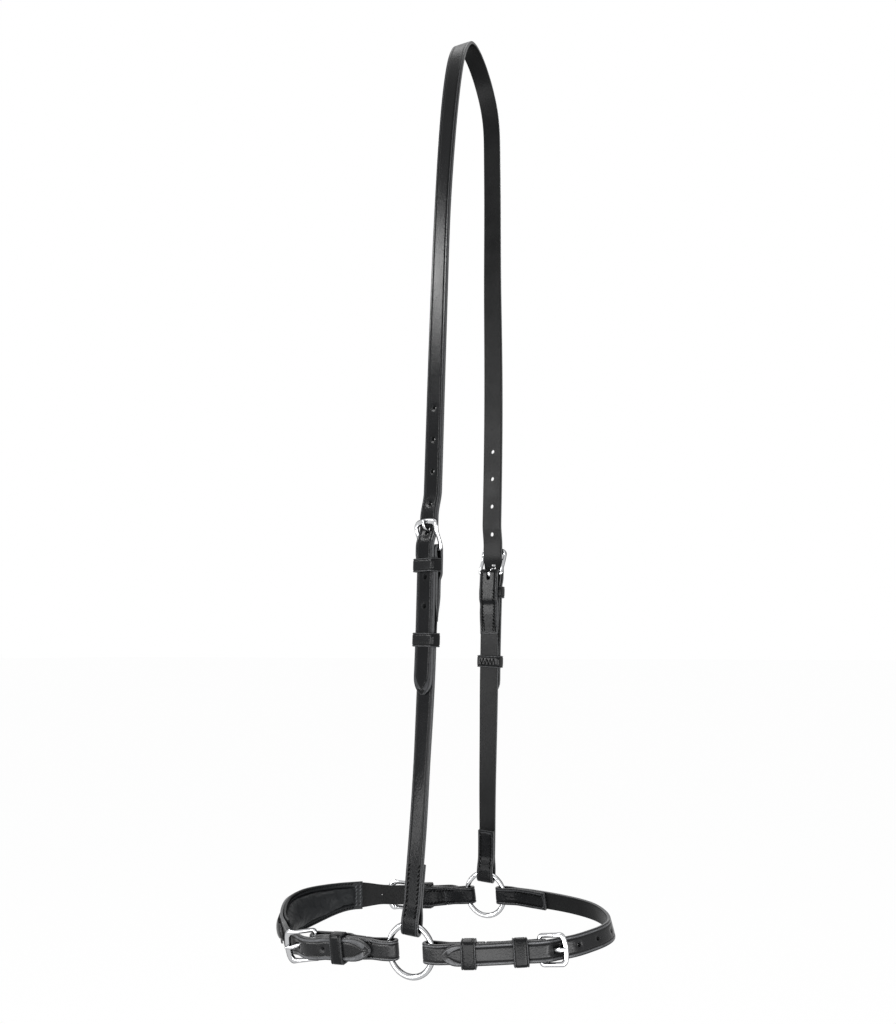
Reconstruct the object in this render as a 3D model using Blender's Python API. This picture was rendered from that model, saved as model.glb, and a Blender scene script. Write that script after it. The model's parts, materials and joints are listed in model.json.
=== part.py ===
# Hanoverian noseband: a leather headpiece over the poll, two cheek straps, two rings,
# a padded nose strap on two tabs and a chin strap that buckles on the near side.
# Metres, +Z up, +X towards the chin, -Y is the near side.
# The origin is on the underside of the headpiece, where it lies over the poll.
import math

import bmesh
import bpy
import numpy as np
from mathutils import Matrix, Vector

MM = 0.001

# Leather
LEATHER = 2.3 * MM              # thickness of every strap
GAP = 0.3 * MM                  # clearance between pieces that touch
PAD_GAP = 0.4 * MM              # the same between the curved layers of the nose pad
HEAD_WIDTH = 16.0 * MM
CROWN_WIDTH = 14.0 * MM
CHEEK_WIDTH = 15.2 * MM
CHIN_WIDTH = 11.6 * MM
NOSE_BILLET_WIDTH = 13.6 * MM
NOSE_TAB_WIDTH = 14.0 * MM
NOSE_SIDE_WIDTH = 18.0 * MM
NOSE_WIDTH = 25.5 * MM
RING_END_WIDTH = 11.0 * MM      # each strap narrows to this where it folds round a ring
EDGE_BEVEL = 0.5 * MM

# Lengths over which the straps narrow
CHEEK_FULL_WIDTH = 25.0 * MM    # below the turned-back end of the cheek, where it has its full width
NOSE_TAB_TAPER = 33.6 * MM      # from the outside of the ring
CHIN_TAB_TAPER = 17.6 * MM
CHIN_STRAP_TAPER = 40.0 * MM    # from the far ring centre
NOSE_BILLET_TAPER = 22.0 * MM   # before the end of the pad
NOSE_BODY_FULL = 8.0 * MM       # each side of the middle of the nose strap
HEAD_TAPER = 300.0 * MM         # from the poll down to the full width of the headpiece
CROWN_NARROW = 30.0 * MM        # each side of the poll, at the narrow width

# Rings
RING_BORE = 26.0 * MM
RING_WIRE = 3.4 * MM
RING_SPACING = 125.0 * MM       # between the two ring planes
RING_SLACK = 0.8 * MM           # how loosely a fold hangs on its ring

# Heights above the ring centres
CROWN_HEIGHT = 648.5 * MM
CROWN_LEAN = 17.0 * MM          # how far the poll lies towards the chin
CROWN_FLAT = 4.0 * MM           # flat length where the strap lies on the poll
CROWN_CURVE = 83.0 * MM         # length each side of the poll over which the strap curves
CROWN_ARCH = 22.0 * MM          # and over which it curves most

# Straps, lengths from the ring centre along the strap
NEAR_CHEEK_TAB = 243.0 * MM     # to the heel bar of the cheek buckle
FAR_CHEEK_TAB = 237.0 * MM
CHEEK_RING_TURNBACK = 50.0 * MM
CHEEK_BUCKLE_TURNBACK = 46.0 * MM
CHEEK_BILLET = 92.0 * MM        # headpiece end beyond the heel bar
CHEEK_HOLE_PITCH = 22.0 * MM
CHEEK_HOLES_ABOVE = 4
CHEEK_HOLES_BELOW = 2

NEAR_NOSE_TAB = 68.0 * MM
FAR_NOSE_TAB = 60.0 * MM
NOSE_TURNBACK = 31.0 * MM       # where the two ends of a nose tab meet
NOSE_BILLET = 42.0 * MM
NOSE_HOLE_PITCH = 16.0 * MM
NOSE_REACH = 127.0 * MM
NOSE_DROOP = 5.2                # degrees below level at rest

CHIN_TAB = 79.0 * MM
CHIN_TURNBACK = 47.0 * MM       # where the two ends of the chin tab meet
CHIN_BILLET = 57.0 * MM
CHIN_HOLE_PITCH = 15.5 * MM
CHIN_HOLES_AHEAD = 3
CHIN_TIP_HOLE = 25.0 * MM       # hole in use to the hole near the point
CHIN_RING_TURNBACK = 50.0 * MM
CHIN_REACH = 106.0 * MM
CHIN_RISE = 3.4                 # degrees above level at rest

TIP_LENGTH = 11.0 * MM          # pointed end of a billet
CHIN_TIP_LENGTH = 9.0 * MM
JOIN_GAP = 1.0 * MM             # between the two turned-back ends of a tab

# Holes
HOLE_BORE = 3.2 * MM
USED_HOLE_LENGTH = 9.0 * MM     # the hole in use is drawn long by the tongue
USED_HOLE_WIDTH = 4.0 * MM
USED_HOLE_AT = 7.6 * MM         # from the heel bar
HOLE_PULL = 1.5 * MM            # how far the pull moves it from its place in the row
SLOT_BEFORE = 5.0 * MM          # the tongue's slot starts this far before the heel bar
SLOT_BEYOND = 7.0 * MM
SLOT_SIDE = 0.5 * MM            # tongue to the side of its slot

# Buckles
BUCKLE_CLEARANCE = 0.5 * MM     # strap to side bar, each side
BUCKLE_LENGTH = 17.5 * MM       # heel bar to front bar, centre to centre
NOSE_BUCKLE_LENGTH = 19.0 * MM
CHIN_BUCKLE_LENGTH = 14.0 * MM
HEEL_BAR = 2.6 * MM             # thickness of heel and side bars
FRONT_BAR_WIDTH = 4.8 * MM
FRONT_BAR_BOW = 1.4 * MM
FRONT_CORNER = 3.0 * MM
HEEL_CORNER = 1.6 * MM
TONGUE_WIDTH = 2.4 * MM
TONGUE_THICK = 1.6 * MM
TONGUE_BEVEL = 0.35 * MM
EYE_CLEARANCE = 0.42 * MM       # tongue's eye to the heel bar

# Keepers
KEEPER_THICK = 1.3 * MM
KEEPER_WIDTH = 9.0 * MM
KEEPER_SIDE = 0.5 * MM          # strap edge to the inside of a keeper
KEEPER_CORNER = 1.0 * MM
KEEPER_BEVEL = 0.3 * MM
NEAR_CHEEK_KEEPER = 10.0 * MM   # heel bar to the middle of the fixed keeper
FAR_CHEEK_KEEPER = 14.0 * MM
CHIN_KEEPER = 12.0 * MM
NEAR_NOSE_KEEPER = 19.0 * MM
FAR_NOSE_KEEPER = 10.5 * MM
NEAR_CHEEK_LOOP = 58.0 * MM     # heel bar to the middle of the running keeper
FAR_CHEEK_LOOP = 67.0 * MM
CHIN_LOOP = 42.0 * MM

# Nose pad and raised overlay
PAD_BEYOND = 17.0 * MM          # front bar of the near buckle to the end of the pad
PAD_END_WIDTH = 19.5 * MM
PAD_WIDTH = 27.5 * MM
PAD_DEPTH = 8.0 * MM
PAD_FLANGE = 3.0 * MM           # flat sewn edge of the lining
PAD_FLANGE_THICK = 1.6 * MM
PAD_CHANNEL = 0.3 * MM          # how deep the sewn channel is beside the flange
PAD_SKIN = 1.3 * MM
PAD_REST = 5.0 * MM             # width of the flat that rests on the nose
OVERLAY_BEYOND = 8.0 * MM       # end of the pad to the end of the overlay
OVERLAY_WIDTH = 15.0 * MM
OVERLAY_DEPTH = 3.6 * MM
OVERLAY_EDGE = 0.9 * MM

# How layers part and close, as lengths along the strap
RING_PART = 11.0 * MM           # beyond the ring, two layers close over this length
HEEL_PART = 9.0 * MM            # before a heel bar, two layers part over this length
HEEL_LEVEL = 1.5 * MM           # they stay parted this close to the bar
KEEPER_PART = 5.0 * MM
KEEPER_EASE = 0.6 * MM
BILLET_CLIMB = 10.0 * MM        # before the heel bar, where a billet starts to climb
BILLET_LEVEL = 2.5 * MM         # it stays level this close to the bar
BILLET_DIP = 3.2 * MM           # from the heel bar down to the front bar
BILLET_SETTLE = 22.0 * MM       # beyond the front bar, where it is back on its route

# Twist and flare, degrees
NEAR_TWIST = 22.0               # how far the near cheek and headpiece turn from square
FAR_TWIST = 8.0
NOSE_FLARE = 8.0                # how far the nose strap's top edge leans out
CHIN_FLARE = 11.0

# Sampling
STEP_STRAIGHT = 13.0 * MM
STEP_CURVED = 7.0 * MM
STEP_ARCH = 4.5 * MM
STEP_BILLET = 3.2 * MM
STEP_LAYER = 2.8 * MM
FOLD_STEPS = 5
RING_STEPS = 36

ringMean = (RING_BORE + RING_WIRE) / 2
wireRadius = RING_WIRE / 2
ringOuter = ringMean + wireRadius
halfSpacing = RING_SPACING / 2
barRadius = HEEL_BAR / 2
layerHalf = (GAP + LEATHER) / 2                    # centre of one of two layers that lie together
ringLayer = wireRadius + GAP + LEATHER / 2         # centre of a layer beside the ring wire
heelLayer = barRadius + GAP + LEATHER / 2          # centre of a layer beside the heel bar
billetOver = layerHalf + LEATHER + GAP             # centre of a billet that lies on a tab
billetHeel = heelLayer + LEATHER + 2 * GAP         # the same where it passes over the heel bar
billetFront = billetHeel - BILLET_DIP              # the same where it passes under the front bar
frontHalf = barRadius * 0.9                        # half the front bar's thickness
frontBar = billetFront + LEATHER / 2 + GAP + frontHalf
tongueTop = frontBar + frontHalf + GAP + TONGUE_THICK / 2
keeperSpread = layerHalf + KEEPER_THICK + GAP      # inner layer where a fixed keeper is sewn in
keeperHalf = KEEPER_WIDTH / 2 + KEEPER_EASE
layersClosed = ringOuter + RING_PART + 2 * MM      # beyond this a ring's two layers lie together
padEnd = max(NEAR_NOSE_TAB, FAR_NOSE_TAB) + NOSE_BUCKLE_LENGTH + PAD_BEYOND
padFace = -LEATHER / 2 - PAD_GAP

black = (0.018, 0.019, 0.021, 1.0)
foamGrey = (0.25, 0.24, 0.22, 1.0)
steel = (0.78, 0.79, 0.80, 1.0)

for old in list(bpy.data.objects):
    bpy.data.objects.remove(old, do_unlink=True)


def material(name, colour, roughness, metallic):
    made = bpy.data.materials.new(name)
    made.use_nodes = True
    shader = made.node_tree.nodes["Principled BSDF"]
    shader.inputs["Base Color"].default_value = colour
    shader.inputs["Roughness"].default_value = roughness
    shader.inputs["Metallic"].default_value = metallic
    return made


def smooth(value, start, end):
    """0 before start, 1 after end, and an even rise between them."""
    if start == end:
        return 0.0 if value < start else 1.0
    part = min(1.0, max(0.0, (value - start) / (end - start)))
    return part * part * (3 - 2 * part)


def taper(points):
    """A smooth function of length from a few (length, value) pairs."""
    def at(s):
        if s <= points[0][0]:
            return points[0][1]
        for (a, low), (b, high) in zip(points, points[1:]):
            if s <= b:
                return low + (high - low) * smooth(s, a, b)
        return points[-1][1]
    return at


class Route:
    """A smooth line through hand-chosen points, with the strap's frame along it.

    The frame is the tangent, the outward normal and the direction across the strap.
    """

    def __init__(self, points, across, samples=24):
        knots = np.array(points, dtype=float)
        spans = np.linalg.norm(np.diff(knots, axis=0), axis=1)
        at = np.concatenate([[0.0], np.cumsum(spans)])
        bend = self.naturalSpline(at, knots)
        line = []
        for index in range(len(knots) - 1):
            for step in range(samples):
                line.append(self.between(at, knots, bend, index, step / samples))
        line.append(knots[-1])
        self.line = np.array(line)
        steps = np.linalg.norm(np.diff(self.line, axis=0), axis=1)
        self.lengthAt = np.concatenate([[0.0], np.cumsum(steps)])
        self.length = self.lengthAt[-1]
        tangents = np.gradient(self.line, self.lengthAt, axis=0)
        tangents /= np.linalg.norm(tangents, axis=1)[:, None]
        widths = np.array([across(s, self.length, t) for s, t in zip(self.lengthAt, tangents)])
        normals = np.cross(widths, tangents)
        normals /= np.linalg.norm(normals, axis=1)[:, None]
        self.tangents = tangents
        self.normals = normals

    @staticmethod
    def naturalSpline(at, knots):
        """Second derivatives at the knots of a natural cubic spline."""
        count = len(at)
        system = np.eye(count)
        right = np.zeros_like(knots)
        gaps = np.diff(at)
        for i in range(1, count - 1):
            system[i, i - 1] = gaps[i - 1]
            system[i, i] = 2 * (gaps[i - 1] + gaps[i])
            system[i, i + 1] = gaps[i]
            rise = (knots[i + 1] - knots[i]) / gaps[i] - (knots[i] - knots[i - 1]) / gaps[i - 1]
            right[i] = 6 * rise
        return np.linalg.solve(system, right)

    @staticmethod
    def between(at, knots, bend, index, part):
        gap = at[index + 1] - at[index]
        low, high = 1 - part, part
        curve = (low ** 3 - low) * bend[index] + (high ** 3 - high) * bend[index + 1]
        return low * knots[index] + high * knots[index + 1] + curve * gap ** 2 / 6

    def frame(self, s):
        """Position, tangent, outward normal and across direction at length s."""
        def read(table):
            return np.array([np.interp(s, self.lengthAt, table[:, axis]) for axis in range(3)])
        place, tangent, normal = read(self.line), read(self.tangents), read(self.normals)
        if s < 0:
            place = place + tangent * s
        if s > self.length:
            place = place + tangent * (s - self.length)
        tangent /= np.linalg.norm(tangent)
        normal -= tangent * np.dot(tangent, normal)
        normal /= np.linalg.norm(normal)
        return place, tangent, normal, np.cross(tangent, normal)

    def turned(self):
        """The same line walked from its other end."""
        other = object.__new__(Route)
        other.line = self.line[::-1]
        other.length = self.length
        other.lengthAt = self.length - self.lengthAt[::-1]
        other.tangents = -self.tangents[::-1]
        other.normals = self.normals[::-1]
        return other

    def point(self, s, n, b):
        place, tangent, normal, across = self.frame(s)
        return place + normal * n + across * b


# Paths beside a route: lists of (length along it, height off it) for the middle of a strap

def run(start, end, height, step):
    """Evenly spaced points from start to end; height is a number or a function of length."""
    count = max(1, math.ceil(abs(end - start) / step))
    points = []
    for index in range(count + 1):
        s = start + (end - start) * index / count
        points.append((s, height(s) if callable(height) else height))
    return points


def mirrored(path, route):
    """A path of the turned route, walked the other way."""
    return [(route.length - s, n) for s, n in reversed(path)]


def fold(centre, radius, towards, rising):
    """Half a turn about (centre, 0) that bulges towards lower (-1) or higher (+1) lengths."""
    points = []
    for index in range(1, FOLD_STEPS):
        turn = math.pi * index / FOLD_STEPS
        height = -radius * math.cos(turn) * rising
        points.append((centre + towards * radius * math.sin(turn), height))
    return points


def ringFoldCentre():
    """Where a fold sits so that the corners of its flat end clear the round wire."""
    inside = math.sqrt((ringMean - wireRadius) ** 2 - (RING_END_WIDTH / 2) ** 2)
    return inside + wireRadius - RING_SLACK


def besideRing(s):
    """Height of a layer that leaves the ring and closes on its partner."""
    return ringLayer + (layerHalf - ringLayer) * smooth(s, ringOuter + GAP, ringOuter + RING_PART)


def besideHeel(heel, s):
    return heelLayer + (layerHalf - heelLayer) * smooth(heel - s, HEEL_LEVEL, HEEL_PART)


def innerHeel(heel, keeperAt, s):
    """Inner layer by the heel bar: it makes room for the sewn end of the fixed keeper."""
    first, last = keeperAt - keeperHalf, keeperAt + keeperHalf
    room = smooth(s, first - KEEPER_PART, first)
    parted = smooth(s, min(last, heel - HEEL_LEVEL), heel - HEEL_LEVEL / 2)
    return layerHalf + (keeperSpread - layerHalf) * room + (heelLayer - keeperSpread) * parted


def billetHeight(heel, front, s, resting=0.0):
    """Billet: flat on the tab, over the heel bar, under the front bar and back to its route."""
    lying = besideRing(s) + LEATHER + GAP
    onTab = lying + (billetHeel - lying) * smooth(s, heel - BILLET_CLIMB, heel - BILLET_LEVEL)
    dip = (billetFront - billetHeel) * smooth(s, heel + BILLET_LEVEL, front - 2 * MM)
    away = (resting - billetFront) * smooth(s, front + 4 * MM, front + BILLET_SETTLE)
    return onTab + dip + away


# Mesh builders

def solid(name, rings, colour, closed=False, roughness=0.5, metallic=0.0, parent=None, place=None):
    """Closed body through a row of equal rings of points."""
    mesh = bmesh.new()
    loops = [[mesh.verts.new(Vector(point)) for point in ring] for ring in rings]
    count = len(loops[0])
    following = loops[1:] + (loops[:1] if closed else [])
    for low, high in zip(loops, following):
        for index in range(count):
            after = (index + 1) % count
            mesh.faces.new((low[index], low[after], high[after], high[index]))
    if not closed:
        mesh.faces.new(list(reversed(loops[0])))
        mesh.faces.new(loops[-1])
    bmesh.ops.recalc_face_normals(mesh, faces=mesh.faces)
    return finished(name, mesh, colour, roughness, metallic, parent, place)


def finished(name, mesh, colour, roughness=0.5, metallic=0.0, parent=None, place=None):
    data = bpy.data.meshes.new(name)
    mesh.to_mesh(data)
    mesh.free()
    if signedVolume(data) < 0:
        data.flip_normals()
    data.shade_smooth()
    data.set_sharp_from_angle(angle=math.radians(35))
    made = bpy.data.objects.new(name, data)
    bpy.context.collection.objects.link(made)
    if colour:
        data.materials.append(material(name, colour, roughness, metallic))
    made.parent = parent
    if place is not None:
        made.location = place
    return made


def signedVolume(data):
    """Six times the volume inside the faces; positive when they point out."""
    start = data.vertices[0].co.copy()
    total = 0.0
    for face in data.polygons:
        corners = [data.vertices[i].co - start for i in face.vertices]
        for one, two in zip(corners[1:], corners[2:]):
            total += corners[0].dot(one.cross(two))
    return total


def beltSection(width, thickness, bevel=EDGE_BEVEL):
    """Outline across a strap: (across, height) with bevelled edges, counter-clockwise."""
    w, t, c = width / 2, thickness / 2, min(bevel, thickness * 0.3, width * 0.2)
    return [(-w + c, -t), (w - c, -t), (w, -t + c), (w, t - c),
            (w - c, t), (-w + c, t), (-w, t - c), (-w, -t + c)]


def direction(path, index, closed=False):
    """Unit direction of a flat path at one of its points."""
    count = len(path)
    before = path[index - 1] if index or closed else path[0]
    after = path[(index + 1) % count] if index < count - 1 or closed else path[-1]
    along = np.array([after[0] - before[0], after[1] - before[1]])
    return along / np.linalg.norm(along)


def ribbon(name, route, path, width, parent=None):
    """Strap whose middle follows path beside route; width is a function of the place along the route."""
    path = [point for index, point in enumerate(path)
            if index == 0 or math.dist(point, path[index - 1]) > 0.05 * MM]
    rings = []
    for index, (s, n) in enumerate(path):
        along = direction(path, index)
        place, tangent, normal, across = route.frame(s)
        middle = place + normal * n
        up = normal * along[0] - tangent * along[1]
        rings.append([middle + across * b + up * h for b, h in beltSection(width(s), LEATHER)])
    return solid(name, rings, black, parent=parent)


def pointed(width, tipLength, distance):
    """Width of a billet at a distance from its rounded point."""
    if distance >= tipLength:
        return width
    part = max(0.0, 1 - (distance + EDGE_BEVEL / 2) / tipLength)
    return width * max(0.12, math.sqrt(1 - part ** 2.2))


def prism(mesh, route, s, outline, low, high):
    """Adds to mesh a straight-sided cutter through the strap: outline is (along, across)."""
    place, tangent, normal, across = route.frame(s)
    ends = []
    for height in (low, high):
        ends.append([mesh.verts.new(Vector(place + tangent * u + across * v + normal * height))
                     for u, v in outline])
    count = len(outline)
    for index in range(count):
        after = (index + 1) % count
        mesh.faces.new((ends[0][index], ends[0][after], ends[1][after], ends[1][index]))
    mesh.faces.new(list(reversed(ends[0])))
    mesh.faces.new(ends[1])


def roundOutline(length, width, sides=10):
    """A circle, or a slot with round ends when length is more than width."""
    reach = max(0.0, (length - width) / 2)
    points = []
    for index in range(sides):
        turn = 2 * math.pi * (index + 0.5) / sides
        shift = reach if math.cos(turn) > 0 else -reach
        points.append((shift + width / 2 * math.cos(turn), width / 2 * math.sin(turn)))
    return points


def cut(piece, cutters, parent):
    """Takes the cutters, a list of (route, s, length, width, low, high), out of the piece."""
    mesh = bmesh.new()
    for route, s, length, width, low, high in cutters:
        prism(mesh, route, s, roundOutline(length, width), low, high)
    bmesh.ops.recalc_face_normals(mesh, faces=mesh.faces)
    cutter = finished(piece.name + ".cutter", mesh, None, parent=parent)
    cutter.hide_render = True
    cutter.display_type = "WIRE"
    modifier = piece.modifiers.new("holes", "BOOLEAN")
    modifier.operation = "DIFFERENCE"
    modifier.solver = "EXACT"
    modifier.object = cutter


def tongueSlot(route, heel):
    """Slot through both layers and the end of the fold at the heel bar."""
    middle = heel + (SLOT_BEYOND - SLOT_BEFORE) / 2
    deep = 2 * heelLayer + LEATHER
    return (route, middle, SLOT_BEFORE + SLOT_BEYOND, TONGUE_WIDTH + 2 * SLOT_SIDE, -deep, deep)


def hole(route, s, height, length=HOLE_BORE, width=HOLE_BORE):
    return (route, s, length, width, height - 2 * LEATHER, height + 2 * LEATHER)


def usedHole(route, heel, front):
    s = heel + USED_HOLE_AT
    return hole(route, s, billetHeight(heel, front, s), USED_HOLE_LENGTH, USED_HOLE_WIDTH)


# Hardware

def ringPiece(name, side, parent):
    sides = 8
    rings = []
    for index in range(RING_STEPS):
        turn = 2 * math.pi * index / RING_STEPS
        ring = []
        for step in range(sides):
            roll = 2 * math.pi * step / sides
            radius = ringMean + wireRadius * math.cos(roll)
            ring.append((radius * math.cos(turn), wireRadius * math.sin(roll), radius * math.sin(turn)))
        rings.append(ring)
    return solid(name, rings, steel, closed=True, roughness=0.15, metallic=1.0, parent=parent,
                 place=(0.0, side * halfSpacing, 0.0))


def seat(piece, route, s):
    """Puts a piece that was built in strap axes (along, across, outward) on the route at s."""
    place, tangent, normal, across = route.frame(s)
    axes = np.array([tangent, -across, normal]).T
    piece.location = Vector(place)
    piece.rotation_euler = Matrix(axes.tolist()).to_euler()
    return piece


def buckleOutline(length, half):
    """Middle line of the frame: (along, across) from the heel bar round the front bar and back."""
    path = [(0.0, -half * share) for share in (0.0, 0.5)]
    for turn in (0.0, 0.8, math.pi / 2):
        path.append((HEEL_CORNER * (1 - math.cos(turn)), -half + HEEL_CORNER * (1 - math.sin(turn))))
    path += [(length * share, -half) for share in (0.35, 0.55, 0.72)]
    for share in (-1.0, -0.97, -0.9, -0.75, -0.4, 0.0):
        bow = FRONT_BAR_BOW * (1 - share * share)
        inCorner = max(0.0, (abs(share) * half - half + FRONT_CORNER) / FRONT_CORNER)
        pull = FRONT_CORNER * (1 - math.sqrt(max(0.0, 1 - inCorner ** 2)))
        path.append((length + bow - pull, half * share))
    return path + [(u, -v) for u, v in reversed(path) if v < -0.01 * MM]


def buckleFrame(name, route, heel, length, strapWidth, parent):
    """Flat-fronted frame: round heel and side bars, broad bowed front bar raised over the billet."""
    half = strapWidth / 2 + BUCKLE_CLEARANCE + barRadius
    path = buckleOutline(length, half)
    rings = []
    for index, (u, v) in enumerate(path):
        along = direction(path, index, closed=True)
        outward = np.array([-along[1], along[0]])
        if outward[0] * (u - length / 2) + outward[1] * v < 0:
            outward = -outward
        broad = smooth(u, length * 0.75, length * 0.98)
        halfWide = barRadius + (FRONT_BAR_WIDTH / 2 - barRadius) * broad
        halfThick = barRadius + (frontHalf - barRadius) * broad
        height = frontBar * smooth(u, 0.0, length * 0.9)
        ring = []
        for step in range(8):
            roll = math.pi / 4 * (step + 0.5)
            wide = halfWide * math.cos(roll)
            ring.append((u + outward[0] * wide, v + outward[1] * wide, height + halfThick * math.sin(roll)))
        rings.append(ring)
    made = solid(name, rings, steel, closed=True, roughness=0.15, metallic=1.0, parent=parent)
    return seat(made, route, heel)


def tongue(name, route, heel, length, parent):
    """Flat wire tongue: an open eye round the heel bar and an arm up to the front bar."""
    eye = barRadius + EYE_CLEARANCE + TONGUE_THICK / 2
    eyeOpen, eyeClosed = math.radians(-60), math.radians(-332)
    path = []
    for index in range(9):
        turn = eyeOpen + (eyeClosed - eyeOpen) * index / 8
        path.append((eye * math.cos(turn), eye * math.sin(turn)))
    eyeTop = path[-1][1]
    climb = length * 0.72
    for share in (0.30, 0.45, 0.6, 0.75, 0.9):
        path.append((climb * share, eyeTop + (tongueTop - eyeTop) * smooth(share, 0.1, 1.0)))
    path.append((length - 1.0 * MM, tongueTop))
    path.append((length + FRONT_BAR_BOW + FRONT_BAR_WIDTH * 0.32, tongueTop))
    rings = []
    for index, (u, h) in enumerate(path):
        along = direction(path, index)
        section = beltSection(TONGUE_WIDTH, TONGUE_THICK, TONGUE_BEVEL)
        rings.append([(u - along[1] * high, wide, h + along[0] * high) for wide, high in section])
    made = solid(name, rings, steel, roughness=0.15, metallic=1.0, parent=parent)
    return seat(made, route, heel)


def keeper(name, route, s, strapWidth, low, high, parent, sewn):
    """Leather band round the layers between heights low and high; a sewn one has its ends apart."""
    half = strapWidth / 2 + KEEPER_SIDE + KEEPER_THICK / 2
    bottom = low - GAP - KEEPER_THICK / 2
    top = high + GAP + KEEPER_THICK / 2
    corner, chamfer = KEEPER_CORNER, KEEPER_CORNER * 0.3
    side = [(half - corner, bottom), (half - chamfer, bottom + chamfer), (half, bottom + corner),
            (half, top - corner), (half - chamfer, top - chamfer), (half - corner, top)]
    start = [(JOIN_GAP / 2, bottom)] if sewn else [(0.0, bottom)]
    path = start + side + [(0.0, top + GAP / 2)] + [(-v, h) for v, h in reversed(side)]
    if sewn:
        path.append((-JOIN_GAP / 2, bottom))
    wide, thick, bevel = KEEPER_WIDTH / 2, KEEPER_THICK / 2, KEEPER_BEVEL
    outline = [(-wide, -thick), (wide, -thick), (wide, thick - bevel), (wide - bevel, thick),
               (-wide + bevel, thick), (-wide, thick - bevel)]
    rings = []
    for index, (v, h) in enumerate(path):
        along = direction(path, index, closed=not sewn)
        rings.append([(u, v + along[1] * out, h - along[0] * out) for u, out in outline])
    made = solid(name, rings, black, closed=not sewn, parent=parent)
    return seat(made, route, s)


def fixedKeeper(name, route, heel, length, behind, strapWidth, parent):
    """Keeper sewn into a tab; behind is its distance from the heel bar, length the buckle's."""
    at = heel - behind
    high = billetHeight(heel, heel + length, at + KEEPER_WIDTH / 2) + LEATHER / 2
    return keeper(name, route, at, strapWidth, layerHalf - LEATHER / 2, high, parent, sewn=True)


# Straps

def billetPath(route, heel, length, billet, tipLength, end, step, resting=0.0):
    """Path of a billet from its point to a place further along the route."""
    tipAt, front = heel - billet, heel + length
    stations = [tipAt + tipLength * share for share in (0, 0.06, 0.2, 0.45, 0.7, 1.0)]
    for first, last, spacing in ((stations[-1], heel - BILLET_CLIMB - 1 * MM, 8 * MM),
                                 (heel - BILLET_CLIMB, front + 5 * MM, STEP_BILLET),
                                 (front + 6 * MM, front + BILLET_SETTLE + 1 * MM, 5 * MM),
                                 (front + BILLET_SETTLE + 4 * MM, end, step)):
        stations += [s for s, _ in run(first, last, 0.0, spacing)]
    return [(s, billetHeight(heel, front, s, resting)) for s in stations]


def ringFold(turnback, step):
    """Path from a turned-back end, round the ring and out to where the layers have closed."""
    centre = ringFoldCentre()
    path = run(turnback, layersClosed, -layerHalf, step)
    path += run(layersClosed - 0.5 * MM, centre, lambda s: -besideRing(s), STEP_LAYER)
    path += fold(centre, ringLayer, -1, 1)
    path += run(centre, layersClosed, besideRing, STEP_LAYER)
    return path


def foldedStrap(name, route, heel, keeperAt, ringEnd, heelEnd, widths, step, parent):
    """Strap folded round the ring and round the heel bar; its ends lie inside at ringEnd and heelEnd."""
    path = ringFold(ringEnd, step)
    path += run(layersClosed + 0.5 * MM, heel - HEEL_PART - 1 * MM, layerHalf, step)
    path += run(heel - HEEL_PART, heel, lambda s: besideHeel(heel, s), STEP_LAYER)
    path += [(s, -n) for s, n in fold(heel, heelLayer, 1, 1)]
    closed = max(heelEnd, keeperAt - keeperHalf - KEEPER_PART)
    path += run(heel, closed, lambda s: -innerHeel(heel, keeperAt, s), STEP_LAYER)
    if closed > heelEnd:
        path += run(closed - 1 * MM, heelEnd, -layerHalf, step)
    made = ribbon(name, route, path, widths, parent)
    cut(made, [tongueSlot(route, heel)], parent)
    return made


def headpiece(route, parent):
    """One strap over the poll with a billet at each end."""
    ends = ((route, NEAR_CHEEK_TAB, NEAR_CHEEK_KEEPER), (route.turned(), FAR_CHEEK_TAB, FAR_CHEEK_KEEPER))
    halves = []
    for way, heel, _ in ends:
        top = crownAt(way)
        curve = top - CROWN_CURVE
        half = billetPath(way, heel, BUCKLE_LENGTH, CHEEK_BILLET, TIP_LENGTH, curve - STEP_CURVED,
                          STEP_STRAIGHT)
        half += run(curve, top - CROWN_ARCH - STEP_ARCH, 0.0, STEP_CURVED)
        half += run(top - CROWN_ARCH, top - CROWN_FLAT / 2, 0.0, STEP_ARCH)
        halves.append(half)
    path = halves[0] + mirrored(halves[1], route)
    middle = route.length / 2
    body = taper([(middle - HEAD_TAPER, HEAD_WIDTH), (middle - CROWN_NARROW, CROWN_WIDTH)])

    def width(s):
        nearTip = s - (NEAR_CHEEK_TAB - CHEEK_BILLET)
        farTip = route.length - s - (FAR_CHEEK_TAB - CHEEK_BILLET)
        return pointed(body(min(s, route.length - s)), TIP_LENGTH, min(nearTip, farTip))

    made = ribbon("headpiece", route, path, width, parent)
    cutters = []
    for way, heel, behind in ends:
        front = heel + BUCKLE_LENGTH
        used = heel + USED_HOLE_AT
        behindKeeper = heel - behind - KEEPER_WIDTH / 2 - HOLE_BORE
        places = [used + HOLE_PULL + CHEEK_HOLE_PITCH * index for index in range(1, CHEEK_HOLES_ABOVE + 1)]
        places += [used - CHEEK_HOLE_PITCH * index for index in range(2, CHEEK_HOLES_BELOW + 1)]
        places.append(min(used - CHEEK_HOLE_PITCH, behindKeeper))
        cutters.append(usedHole(way, heel, front))
        cutters += [hole(way, s, billetHeight(heel, front, s)) for s in places]
    cut(made, cutters, parent)
    return made


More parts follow.
